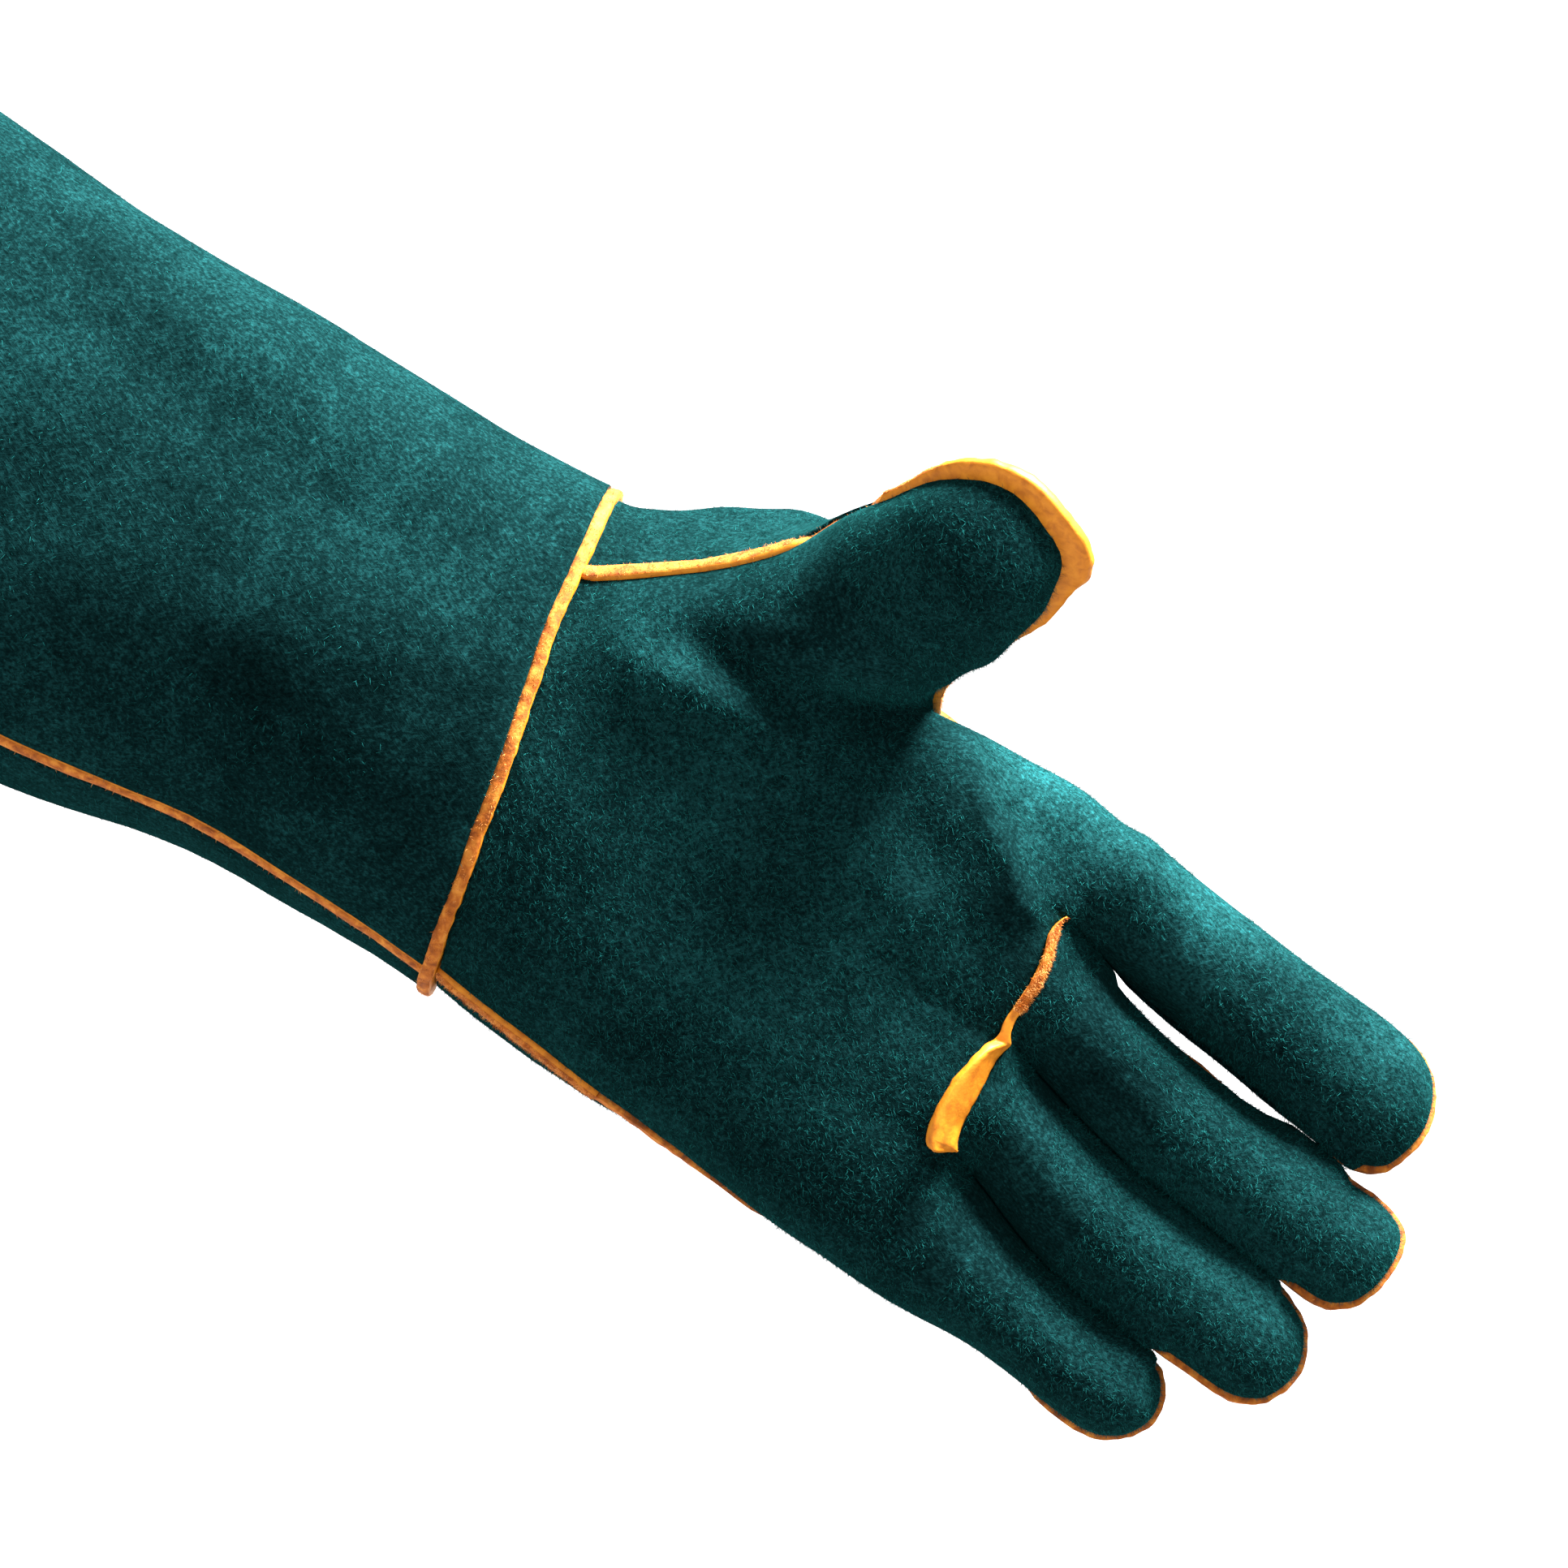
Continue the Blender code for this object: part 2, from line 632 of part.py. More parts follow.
def press_folds(points, normals, folds, length, keep):
    """Presses the folds into the points of their side, and leaves the points in keep where they are."""
    for fold in folds:
        facing = np.clip(normals[:, 1] * (-1 if fold.side == FRONT else 1), 0, 1)
        rise = fold_height(fold, points, length, WRIST_WIDTH) * facing
        rise[keep] = 0
        points += normals * rise[:, None]


def gauntlet_net():
    """The gauntlet's cells, which start and end at its long seam, on the little finger's side."""
    net = Net()
    for row in range(GAUNTLET_ROWS + 1):
        along = row / GAUNTLET_ROWS
        half = between(WRIST_WIDTH, MOUTH_WIDTH, along) / 2
        depth = between(WRIST_DEPTH, MOUTH_DEPTH, along)
        top = half * (1 + read(GAUNTLET, along, "top"))
        bottom = -half * (1 + read(GAUNTLET, along, "bottom"))
        oval = Oval(
            (top + bottom) / 2,
            (top - bottom) / 2,
            depth * read(GAUNTLET, along, "front"),
            depth * read(GAUNTLET, along, "back"),
            WRIST_POWER,
        )
        seam = math.pi - math.radians(read(GAUNTLET, along, "seam"))
        for column in range(GAUNTLET_COLUMNS):
            angle = seam - 2 * math.pi * column / GAUNTLET_COLUMNS
            y, z = on_oval(oval, angle)
            slant = WRIST_SLANT * max(0, 1 - along * 3) * z / (WRIST_WIDTH / 2)
            point = vector((-GAUNTLET_LENGTH * along - slant, y, z))
            net.put(gauntlet_key(row, column), point)
    for row in range(GAUNTLET_ROWS):
        for column in range(GAUNTLET_COLUMNS):
            corners = ((row, column), (row + 1, column), (row + 1, column + 1), (row, column + 1))
            net.cells["gauntlet", FRONT, row, column] = tuple(
                net.number[gauntlet_key(*corner)] for corner in corners
            )
    net.points = np.array(net.points)
    return net


def material(name, colour, roughness):
    made = bpy.data.materials.new(name)
    made.use_nodes = True
    shader = made.node_tree.nodes["Principled BSDF"]
    shader.inputs["Base Color"].default_value = (*colour, 1)
    shader.inputs["Roughness"].default_value = roughness
    shader.inputs["Metallic"].default_value = 0
    return made


def add_object(name, points, faces, finish):
    mesh = bpy.data.meshes.new(name)
    mesh.from_pydata([tuple(p) for p in points], [], [tuple(f) for f in faces])
    mesh.validate()
    mesh.shade_smooth()
    mesh.set_sharp_from_angle(angle=math.radians(40))
    made = bpy.data.objects.new(name, mesh)
    mesh.materials.append(finish)
    bpy.context.scene.collection.objects.link(made)
    return made


def edge_of(cells):
    """The directed edges that only one of these cells has, each with its cell."""
    directed = {(a, b): cell for cell in cells for a, b in zip(cell, cell[1:] + cell[:1])}
    return {(a, b): cell for (a, b), cell in directed.items() if (b, a) not in directed}


def trim(points, edges, room_of):
    """How each point on an edge moves, so that each of its two edges lies its room inside its line."""
    ways = {}
    for (a, b), cell in edges.items():
        p, q, r, t = (points[i] for i in cell)
        inward = unit(np.cross(np.cross(r - p, t - q), points[b] - points[a]))
        for i in (a, b):
            ways.setdefault(i, []).append((inward, room_of(a, b)))
    moves = {}
    for i, ((first, first_room), (second, second_room)) in ways.items():
        common = max(-0.6, first.dot(second))
        square = max(1 - common**2, 0.02)
        if common > 0.99:
            moves[i] = first * (first_room + second_room) / 2
            continue
        moves[i] = first * (first_room - common * second_room) / square
        moves[i] = moves[i] + second * (second_room - common * first_room) / square
    return moves


def panel(name, points, normals, cells, finish, rooms):
    """A leather wall over these cells. rooms gives the edges whose room isn't that of a seam."""
    edges = edge_of(cells)

    def room_of(a, b):
        return rooms.get(frozenset((a, b)), SEAM_ROOM)

    moves = trim(points, edges, room_of)
    used = sorted({i for cell in cells for i in cell})
    number = {i: n for n, i in enumerate(used)}
    outer = [points[i] + moves.get(i, 0) for i in used]
    inner = [p - LEATHER * normals[i] for i, p in zip(used, outer)]
    count = len(used)
    faces = [tuple(number[i] for i in cell) for cell in cells]
    faces += [tuple(count + number[i] for i in cell[::-1]) for cell in cells]
    faces += [(number[b], number[a], count + number[a], count + number[b]) for a, b in edges]
    add_object(name, outer + inner, faces, finish)
    return {i: outer[number[i]] for i in moves}


def cut_open(net, normals):
    """The gauntlet's points, normals and cells, with the points of its long seam given twice."""
    seam = [net.number[gauntlet_key(row, 0)] for row in range(GAUNTLET_ROWS + 1)]
    copy = {i: len(net.points) + n for n, i in enumerate(seam)}
    points = np.concatenate([net.points, net.points[seam]])
    normals = np.concatenate([normals, normals[seam]])
    cells = [
        tuple(copy.get(i, i) for i in cell) if column == GAUNTLET_COLUMNS - 1 else cell
        for (_, _, _, column), cell in net.cells.items()
    ]
    return points, normals, cells, seam, list(copy.values())


def cut_ends(rows, start, end):
    """The rows of a strip, each the numbers of one section, with these lengths taken off its ends."""
    steps = np.linalg.norm(np.diff(rows[:, :3], axis=0), axis=1)
    at = np.concatenate([[0], np.cumsum(steps)])
    inside = [a for a in at if a > start * 1.5 and a < at[-1] - end * 1.5]
    wanted = [start, *inside, at[-1] - end] if start or end else at
    return np.column_stack([np.interp(wanted, at, column) for column in rows.T])


def welt(name, one, other, facing, proud, finish, start=0.0, end=0.0, closed=False, lean=None):
    """A strip of leather between the edges of two panels, flush inside and proud of the seam outside.

    lean is how far each section tips over towards the first panel, in degrees.
    """
    sides = 4 if lean is None else 6
    rows = np.column_stack([one, other, facing, proud, [0.0] * len(proud) if lean is None else lean])
    if not closed:
        rows = cut_ends(rows, start, end)
    points, faces = [], []
    for row in rows:
        a, b, up, height, tip = row[:3], row[3:6], unit(row[6:9]), row[9], math.radians(row[10])
        across = unit(b - a)
        a, b = a + across * SEAM_GAP, b - across * SEAM_GAP
        inner = [b - up * LEATHER, a - up * LEATHER]
        if lean is None:
            points += [a + up * height, b + up * height, *inner]
            continue
        foot = a + up * SEAM_GAP
        rise = up * math.cos(tip) - across * math.sin(tip)
        top = foot + rise * (height - SEAM_GAP)
        thick = (across * math.cos(tip) + up * math.sin(tip)) * np.linalg.norm(b - a)
        points += [top, top + thick, b + up * SEAM_GAP, *inner, foot]
    count = len(rows)
    for i in range(count if closed else count - 1):
        here, there = sides * i, sides * ((i + 1) % count)
        for k in range(sides):
            n = (k + 1) % sides
            faces.append((here + k, here + n, there + n, there + k))
    if not closed:
        last = sides * (count - 1)
        faces.append(tuple(range(sides))[::-1])
        faces.append(tuple(range(last, last + sides)))
    made = add_object(name, points, faces, finish)
    turn_outward(made)


def turn_outward(made):
    body = bmesh.new()
    body.from_mesh(made.data)
    bmesh.ops.recalc_face_normals(body, faces=body.faces)
    body.to_mesh(made.data)
    body.free()


def finger_seam_keys(number):
    """The seam round a finger, from the fork above it, over its tip, to the fork below it."""
    rows = len(FINGER) - 1 + CAP_ROWS
    up = [(row, 0) for row in range(rows + 1)]
    over = [(rows, column) for column in range(1, FINGER_COLUMNS)]
    down = [(row, FINGER_COLUMNS) for row in range(rows, -1, -1)]
    return [finger_key(number, FRONT, row, column) for row, column in up + over + down]


def thumb_seam_keys():
    rows = len(THUMB) - 1 + CAP_ROWS
    up = [(row, 0) for row in range(rows + 1)]
    over = [(rows, column) for column in range(1, THUMB_COLUMNS)]
    down = [(row, THUMB_COLUMNS) for row in range(rows, -1, -1)]
    return [thumb_key(FRONT, row, column) for row, column in up + over + down]


def proud_at(key):
    """How far the welt stands out at a seam's point: hidden in the forks, and most at the thumb's tip."""
    part, _, row, _ = key
    if part == "thumb":
        tip = eased((row - len(THUMB) + 1.5) / 3)
        return between(WELT_PROUD * 0.6, THUMB_WELT_PROUD, tip)
    if part == "palm":
        return -SEAM_GAP if row == CROTCH_ROW else WELT_PROUD * 0.7
    return WELT_PROUD * between(-0.15, 1.0, eased((row - 1) / 3))


def flatten_at_wrist(normals, numbers):
    """Turns the normals at the wrist seam into its plane, so that both sides of it meet squarely."""
    for i in numbers:
        normals[i] = unit(normals[i] - WRIST_AHEAD * normals[i].dot(WRIST_AHEAD))


def build():
    for old in list(bpy.data.objects):
        bpy.data.objects.remove(old)
    suede = material("green_split_leather", (0.010, 0.055, 0.052), 0.95)
    orange = material("orange_welt_leather", (0.80, 0.30, 0.04), 0.70)

    net = hand_net()
    open_thumb_root(net)
    smooth(net, blending_strength(net), 6)
    cells = list(net.cells.values())
    seam_points = [n for key, n in net.number.items() if key[1] == "seam"]
    press_folds(net.points, normals_of(net.points, cells), FOLDS, PALM_LENGTH, seam_points)
    normals = normals_of(net.points, cells)
    even_out(normals, cells, folding_strength(net), 3)
    for column in range(SET_IN[0], SET_IN[1] + 1):
        before, strip = (net.number[palm_key(FRONT, r, column)] for r in (SEAM_ROW - 1, SEAM_ROW))
        normals[strip] = normals[before]
    wrist = [palm_key(FRONT, 0, c) for c in range(PALM_COLUMNS + 1)]
    wrist += [palm_key(BACK, 0, c) for c in range(PALM_COLUMNS - 1, 0, -1)]
    wrist = [net.number[key] for key in wrist]
    flatten_at_wrist(normals, wrist)

    def in_set_in(name, side, row, column):
        in_strip = name == "palm" and row == SEAM_ROW and SET_IN[0] <= column < SET_IN[1]
        return side == FRONT and (in_strip or name in ("middle", "ring"))

    def leg(column):
        """The short cut from the end of the strip at the fingers' bases to the fork beside it."""
        return frozenset(net.number[palm_key(FRONT, row, column)] for row in (SEAM_ROW, CROTCH_ROW))

    rooms = {leg(column): SEAM_GAP / 2 for column in SET_IN}
    set_in = [cell for place, cell in net.cells.items() if in_set_in(*place)]
    back = [cell for place, cell in net.cells.items() if place[1] == BACK]
    palm = [c for p, c in net.cells.items() if p[1] == FRONT and not in_set_in(*p)]
    front_edge = panel("palm_panel", net.points, normals, palm, suede, rooms)
    set_in_edge = panel("middle_fingers_front", net.points, normals, set_in, suede, rooms)
    back_edge = panel("back_panel", net.points, normals, back, suede, rooms)

    arm = gauntlet_net()
    press_folds(
        arm.points,
        normals_of(arm.points, list(arm.cells.values())),
        GAUNTLET_FOLDS,
        -GAUNTLET_LENGTH,
        [arm.number[gauntlet_key(0, c)] for c in range(GAUNTLET_COLUMNS)],
    )
    arm_normals = normals_of(arm.points, list(arm.cells.values()))
    flatten_at_wrist(arm_normals, range(GAUNTLET_COLUMNS))
    points, wall_normals, wall_cells, seam, seam_copy = cut_open(arm, arm_normals)
    mouth = [arm.number[gauntlet_key(GAUNTLET_ROWS, c)] for c in range(GAUNTLET_COLUMNS)]
    mouth.append(seam_copy[-1])
    mouth_rooms = {frozenset(pair): 0.0 for pair in zip(mouth, mouth[1:])}
    wall_edge = panel("gauntlet", points, wall_normals, wall_cells, suede, mouth_rooms)
    one, other = [wall_edge[i] for i in seam], [wall_edge[i] for i in seam_copy]
    welt("gauntlet_welt", one, other, arm_normals[seam], [WELT_PROUD] * len(seam), orange)

    path = net.points[wrist]
    one, other = path - WRIST_AHEAD * SEAM_ROOM, path + WRIST_AHEAD * SEAM_ROOM
    welt("wrist_welt", one, other, normals[wrist], [WELT_PROUD] * len(path), orange, closed=True)

    def along_seam(keys):
        """Both panels' edges, the facing and the height of a welt along these points."""
        numbers = [net.number[key] for key in keys]
        front = [front_edge[i] if i in front_edge else set_in_edge[i] for i in numbers]
        behind = [back_edge[i] for i in numbers]
        return front, behind, normals[numbers], [proud_at(key) for key in keys]

    thumb = [palm_key(FRONT, 0, 0), *thumb_seam_keys()]
    welt("thumb_welt", *along_seam(thumb), orange, end=SEAM_GAP)

    fingers = [palm_key(FRONT, row, 0) for row in range(THUMB_LAST_ROW, CROTCH_ROW)]
    for number in range(len(FINGERS)):
        fingers += finger_seam_keys(number)[0 if number == 0 else 1 :]
    join_row = 6  # where the long strip round the fingers ends and a short one goes on
    fingers += [palm_key(FRONT, r, PALM_COLUMNS) for r in range(SEAM_ROW, join_row - 1, -1)]
    heel = [palm_key(FRONT, row, PALM_COLUMNS) for row in range(join_row, -1, -1)]
    welt("finger_welt", *along_seam(fingers), orange)
    welt("heel_welt", *along_seam(heel), orange, start=SEAM_GAP)

    base = [palm_key(FRONT, SEAM_ROW, c) for c in range(SET_IN[0], SET_IN[1] + 1)]
    base = [net.number[key] for key in base]
    wide = [eased((n / (len(base) - 1) - 0.35) / 0.4) for n in range(len(base))]
    welt(
        "finger_base_welt",
        [front_edge[i] for i in base],
        [set_in_edge[i] for i in base],
        normals[base],
        [between(WELT_PROUD, BASE_WELT_PROUD, share) for share in wide],
        orange,
        start=3 * SEAM_GAP,
        end=3 * SEAM_GAP,
        lean=[between(5, 58, share) for share in wide],
    )


build()
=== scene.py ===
# %% [markdown]
# # A long leather glove for handling animals
# The glove is sewn from panels of split leather, whose fuzzy inner side is turned out, and every seam
# holds a welt: a narrow strip of leather that keeps claws and teeth off the thread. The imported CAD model
# gives each panel and each strip its place. This script gives them the look of the real leather.

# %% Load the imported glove
import math

import bmesh
import bpy
import numpy as np
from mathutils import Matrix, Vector, noise
from mathutils.bvhtree import BVHTree


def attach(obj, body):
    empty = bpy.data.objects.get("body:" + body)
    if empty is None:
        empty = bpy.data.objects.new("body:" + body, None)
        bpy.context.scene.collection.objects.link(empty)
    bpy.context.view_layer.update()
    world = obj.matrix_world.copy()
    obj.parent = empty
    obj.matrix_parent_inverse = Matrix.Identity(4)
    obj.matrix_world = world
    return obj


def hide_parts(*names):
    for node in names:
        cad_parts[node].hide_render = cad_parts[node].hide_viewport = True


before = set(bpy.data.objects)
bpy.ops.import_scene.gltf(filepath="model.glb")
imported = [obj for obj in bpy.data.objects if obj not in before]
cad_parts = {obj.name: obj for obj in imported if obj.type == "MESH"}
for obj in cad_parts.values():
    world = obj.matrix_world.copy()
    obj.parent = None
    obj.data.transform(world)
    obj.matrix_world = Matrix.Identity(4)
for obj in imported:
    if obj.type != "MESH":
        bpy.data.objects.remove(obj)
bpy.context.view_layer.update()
scene = bpy.context.scene
MM = 0.001
print("nodes:", ", ".join(sorted(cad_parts)))

# %% [markdown]
# ## The photograph's plane
# The camera looks along +Y with its picture turned by 30 degrees. A place that was read off the
# photograph, in its own pixels, becomes a place in the glove's XZ plane through the lines below, so a
# fold or a worn patch can be put where the real glove has it.

# %% From a pixel of the photograph to a place on the glove
PHOTO_SCALE = 0.185 * MM
WRIST_PIXEL = (645, 915)
ROLL = math.radians(30)


def rolled(right, down):
    """(x, z) of a step to the right and down in the photograph."""
    return (right * math.cos(ROLL) + down * math.sin(ROLL),
            right * math.sin(ROLL) - down * math.cos(ROLL))


def on_glove(across, down):
    """(x, z) in metres of a pixel of the photograph, in the plane through the wrist's centre."""
    return rolled((across - WRIST_PIXEL[0]) * PHOTO_SCALE, (down - WRIST_PIXEL[1]) * PHOTO_SCALE)


print("crotch of the thumb:", [round(v, 4) for v in on_glove(1157, 873)])

# %% [markdown]
# ## Meshes from the CAD nodes
# A CAD node comes as loose triangles. A copy is welded, its triangles are paired back to four-sided
# faces, and its sharp edges are creased, so that Subdivision Surface rounds the leather's form but
# keeps the cut edges of each panel where they are. Sculpting would round them too, but it can't be
# written down in a script.

# %% Copy a CAD node as a smooth mesh
WELD = 0.01 * MM
PAIRS_UP_TO = {"angle_face_threshold": math.radians(40), "angle_shape_threshold": math.radians(70)}
CUT_EDGE_ANGLE = math.radians(50)
FINER_LEVELS = 2


def link(name, data):
    made = bpy.data.objects.new(name, data)
    scene.collection.objects.link(made)
    return made


def paired_copy(node, name, crease):
    """A welded copy of a CAD node, in four-sided faces, with its cut edges creased."""
    shape = bmesh.new()
    shape.from_mesh(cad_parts[node].data)
    bmesh.ops.remove_doubles(shape, verts=shape.verts, dist=WELD)
    bmesh.ops.join_triangles(shape, faces=shape.faces, **PAIRS_UP_TO)
    creases = shape.edges.layers.float.new("crease_edge")
    for edge in shape.edges:
        if len(edge.link_faces) == 2 and edge.calc_face_angle() > CUT_EDGE_ANGLE:
            edge[creases] = crease
    mesh = bpy.data.meshes.new(name)
    shape.to_mesh(mesh)
    shape.free()
    return link(name, mesh)


def evaluated_mesh(made):
    """Replaces an object's mesh by the result of its modifiers, which are then removed."""
    graph = bpy.context.evaluated_depsgraph_get()
    mesh = bpy.data.meshes.new_from_object(made.evaluated_get(graph))
    old = made.data
    made.modifiers.clear()
    made.data = mesh
    mesh.name = made.name
    bpy.data.meshes.remove(old)


def made_finer(made):
    """Subdivides a piece, shades it smooth and says how fine it is."""
    finer = made.modifiers.new("finer", "SUBSURF")
    finer.levels = finer.render_levels = FINER_LEVELS
    evaluated_mesh(made)
    made.data.shade_smooth()
    print(made.name, len(made.data.polygons), "faces")


# %% [markdown]
# ## Folds
# Heavy split leather bends in broad soft folds where the hand moves: round the ball of the thumb, from
# the thumb's crotch over the palm, and along the forearm. Simulated cloth would fold somewhere else.
# Here a fold runs between two pixels of the photograph and fades out beside that line, and a fine
# crumple lies over all. One field moves every piece, panels and welts alike, so nothing parts or meets.

# %% The field of folds
FOLDS = [
    # side   from         to            spread  rise (mm)
    ("palm", (860, 800), (960, 872), 6.0, -2.4),
    ("palm", (960, 872), (1120, 892), 5.0, -2.6),
    ("palm", (1188, 922), (1258, 1118), 3.8, 2.0),
    ("palm", (1150, 950), (1190, 1090), 9.0, 2.2),
    ("palm", (1330, 1000), (1400, 1050), 8.0, 1.6),
    ("palm", (1440, 1090), (1500, 1130), 7.0, 1.2),
    ("palm", (900, 930), (830, 1110), 7.0, -1.0),
    ("palm", (1010, 960), (900, 1130), 9.0, 1.0),
    ("palm", (1000, 640), (940, 760), 9.0, 0.8),
    ("palm", (60, 180), (330, 420), 16.0, 2.1),
    ("palm", (330, 400), (560, 600), 13.0, 2.4),
    ("palm", (200, 470), (470, 640), 12.0, -1.8),
    ("palm", (440, 450), (660, 600), 8.0, -1.6),
    ("palm", (40, 620), (330, 900), 22.0, -1.4),
    ("palm", (200, 700), (420, 930), 16.0, 1.0),
    ("back", (250, 300), (520, 640), 18.0, 1.8),
    ("back", (60, 520), (360, 800), 16.0, -1.6),
    ("back", (760, 760), (980, 980), 12.0, 1.4),
    ("back", (980, 860), (1180, 1240), 10.0, -1.5),
    ("back", (1120, 1000), (1240, 1230), 9.0, 1.2),
    ("back", (880, 660), (1010, 720), 8.0, -1.0),
]
FOLD_FADES_OVER = 8 * MM
CRUMPLE = [
    # size, depth
    (34 * MM, 0.9 * MM),
    (13 * MM, 0.35 * MM),
]
noise.seed_set(1)  # without a seed, noise_vector would crumple the leather in another way each run


def eased(share):
    """0 before 0, 1 after 1, and a smooth way between."""
    share = np.clip(share, 0, 1)
    return share * share * (3 - 2 * share)


def fold_field(points):
    """How far each point (rows of x, y, z) moves: folds along Y and a crumple in all directions."""
    moved = np.zeros_like(points)
    flat = points[:, [0, 2]]
    for side, first, last, spread, rise in FOLDS:
        start, end = np.array(on_glove(*first)), np.array(on_glove(*last))
        way = end - start
        along = (flat - start) @ way / (way @ way)
        nearest = start + np.clip(along, 0, 1)[:, None] * way
        away = np.linalg.norm(flat - nearest, axis=1) / (spread * MM)
        front = 1 if side == "palm" else -1
        facing = eased(-front * points[:, 1] / FOLD_FADES_OVER)
        moved[:, 1] -= front * rise * MM * np.exp(-away ** 2) * facing
    for size, depth in CRUMPLE:
        moved += depth * np.array([noise.noise_vector(Vector(p) / size) for p in points])
    return moved


print(len(FOLDS), "folds")

# %% [markdown]
# ## Fingers side by side
# Between two worn fingers the seam turns to the back, and in front the fingers touch: one sees a dark
# line there, and white only where the gap is open. The gap of index and middle finger is open in its
# middle, the two others are closed. Each gap is a path of pixels. Along it the seam is pushed back, and
# where the gap is closed the leather on both sides is drawn to the path.

# %% The field between the fingers
GAPS = [
    # pixels from the fork to the tips, closed up to this share and from this one, strip goes in (mm)
    ([(1322, 1140), (1485, 1303), (1658, 1429)], 0.16, 0.70, 6.8),
    ([(1245, 1290), (1398, 1442), (1575, 1572)], 1.0, 1.0, 3.6),
    ([(1170, 1408), (1290, 1562), (1422, 1668)], 1.0, 1.0, 3.6),
]
SEAM_TURNS_BACK, SEAM_SPREAD = 8.0 * MM, 4.5 * MM
SEAM_DEPTH, SEAM_FADES_OVER = 2 * MM, 10 * MM
SEAM_ENDS = (0.12, 0.72, 0.25)
GAP_CLOSES, GAP_SPREAD = 3.0 * MM, 5.5 * MM
GAP_DEPTH, GAP_FADES_OVER = 6 * MM, 4 * MM
GAP_OPENS_OVER, GAP_SHUTS_OVER = 0.06, 0.12
ON_THE_PATH = 0.1 * MM


def between(share, rises_over, falls_from, falls_over):
    """1 along the middle of a path, with a smooth rise at its start and a smooth fall to its end."""
    return eased(share / rises_over) * (1 - eased((share - falls_from) / falls_over))


def along_path(flat, pixels):
    """For each (x, z): its share of the way along a path of pixels, and how far beside it it lies."""
    corners = [np.array(on_glove(*pixel)) for pixel in pixels]
    lengths = [np.linalg.norm(b - a) for a, b in zip(corners, corners[1:])]
    share = np.zeros(len(flat))
    beside = np.full((len(flat), 2), 1.0)
    done = 0.0
    for a, b, length in zip(corners, corners[1:], lengths):
        way = (b - a) / length
        run = np.clip((flat - a) @ way, 0, length)
        off = flat - (a + run[:, None] * way)
        nearer = np.linalg.norm(off, axis=1) < np.linalg.norm(beside, axis=1)
        beside[nearer] = off[nearer]
        share[nearer] = (done + run[nearer]) / sum(lengths)
        done += length
    return share, beside


def finger_field(points):
    """Between two fingers the seams turn to the back, and the fingers lie against each other in front."""
    moved = np.zeros_like(points)
    flat, depth = points[:, [0, 2]], points[:, 1]
    for pixels, closed_to, closed_from, _ in GAPS:
        share, beside = along_path(flat, pixels)
        away = np.linalg.norm(beside, axis=1)
        ends = between(share, *SEAM_ENDS)
        front = 1 - eased((depth - SEAM_DEPTH) / SEAM_FADES_OVER)
        moved[:, 1] += SEAM_TURNS_BACK * np.exp(-(away / SEAM_SPREAD) ** 2) * ends * front
        closed = np.maximum(1 - eased((share - closed_to) / GAP_OPENS_OVER),
                            eased((share - closed_from) / GAP_SHUTS_OVER))
        touch = np.exp(-(away / GAP_SPREAD) ** 4) * closed * (share < 1)
        facing = eased((GAP_DEPTH - depth) / GAP_FADES_OVER)
        step = np.minimum(away, GAP_CLOSES) * touch * facing
        moved[:, [0, 2]] -= beside / np.maximum(away, ON_THE_PATH)[:, None] * step[:, None]
    return moved


print(len(GAPS), "gaps between fingers")

# %% [markdown]
# ## The outline
# The CAD's rounded sections stay a few pixels off the real outline at the thumb, the knuckles and the
# fingertips, where leather bulges or sags. Laying both outlines over each other shows how far, and small
# soft shifts in the photograph's plane mend it. A shift moves all pieces there, so the seams stay shut.

# %% The field of shifts
SHIFTS = [
    # pixel      spread, right, down (mm)
    ((1163, 846), 3.5, 0.8, 1.2),
    ((1205, 815), 6.0, 1.4, 1.6),
    ((1345, 685), 8.0, 2.6, 0.2),
    ((1305, 760), 6.0, -0.9, -2.2),
    ((1200, 568), 8.0, 0.3, 1.8),
    ((1030, 640), 8.0, -0.3, -1.5),
    ((845, 635), 7.0, 0.0, 0.9),
    ((1340, 975), 10.0, 1.0, -1.8),
    ((1385, 1775), 8.0, 0.0, -1.6),
    ((1690, 1440), 6.0, 0.2, 1.5),
    ((1722, 1525), 7.0, 1.3, -0.3),
    ((240, 310), 24.0, -0.5, 1.1),
    ((560, 490), 14.0, 0.2, -0.4),
    ((1312, 1150), 6.0, -2.6, -2.2),
    ((1290, 740), 5.0, -0.7, -0.6),
    ((985, 628), 6.0, 0.0, -0.9),
    ((1250, 1282), 5.5, -0.8, -1.7),
    ((1650, 1425), 6.0, -0.2, 0.9),
    ((1620, 1600), 6.0, 0.0, 1.1),
]


def shift_field(points, shifts):
    """Small moves in the photograph's plane, from a table like the one above."""
    moved = np.zeros_like(points)
    flat = points[:, [0, 2]]
    for pixel, spread, right, down in shifts:
        away = np.linalg.norm(flat - np.array(on_glove(*pixel)), axis=1) / (spread * MM)
        weight = np.exp(-away ** 2) * MM
        x, z = rolled(right, down)
        moved[:, 0] += weight * x
        moved[:, 2] += weight * z
    return moved


print("longest shift:", round(max(math.hypot(right, down) for _, _, right, down in SHIFTS), 1), "mm")

# %% [markdown]
# ## Colours and nodes
# Colours are the sRGB values that one reads off a screen, turned to the linear values that Cycles
# works with. One function adds a node of any kind: what goes into its inputs is given by name or number,
# as a plain value or as another node's output, and the settings are the node's own.

# %% Helpers for all materials


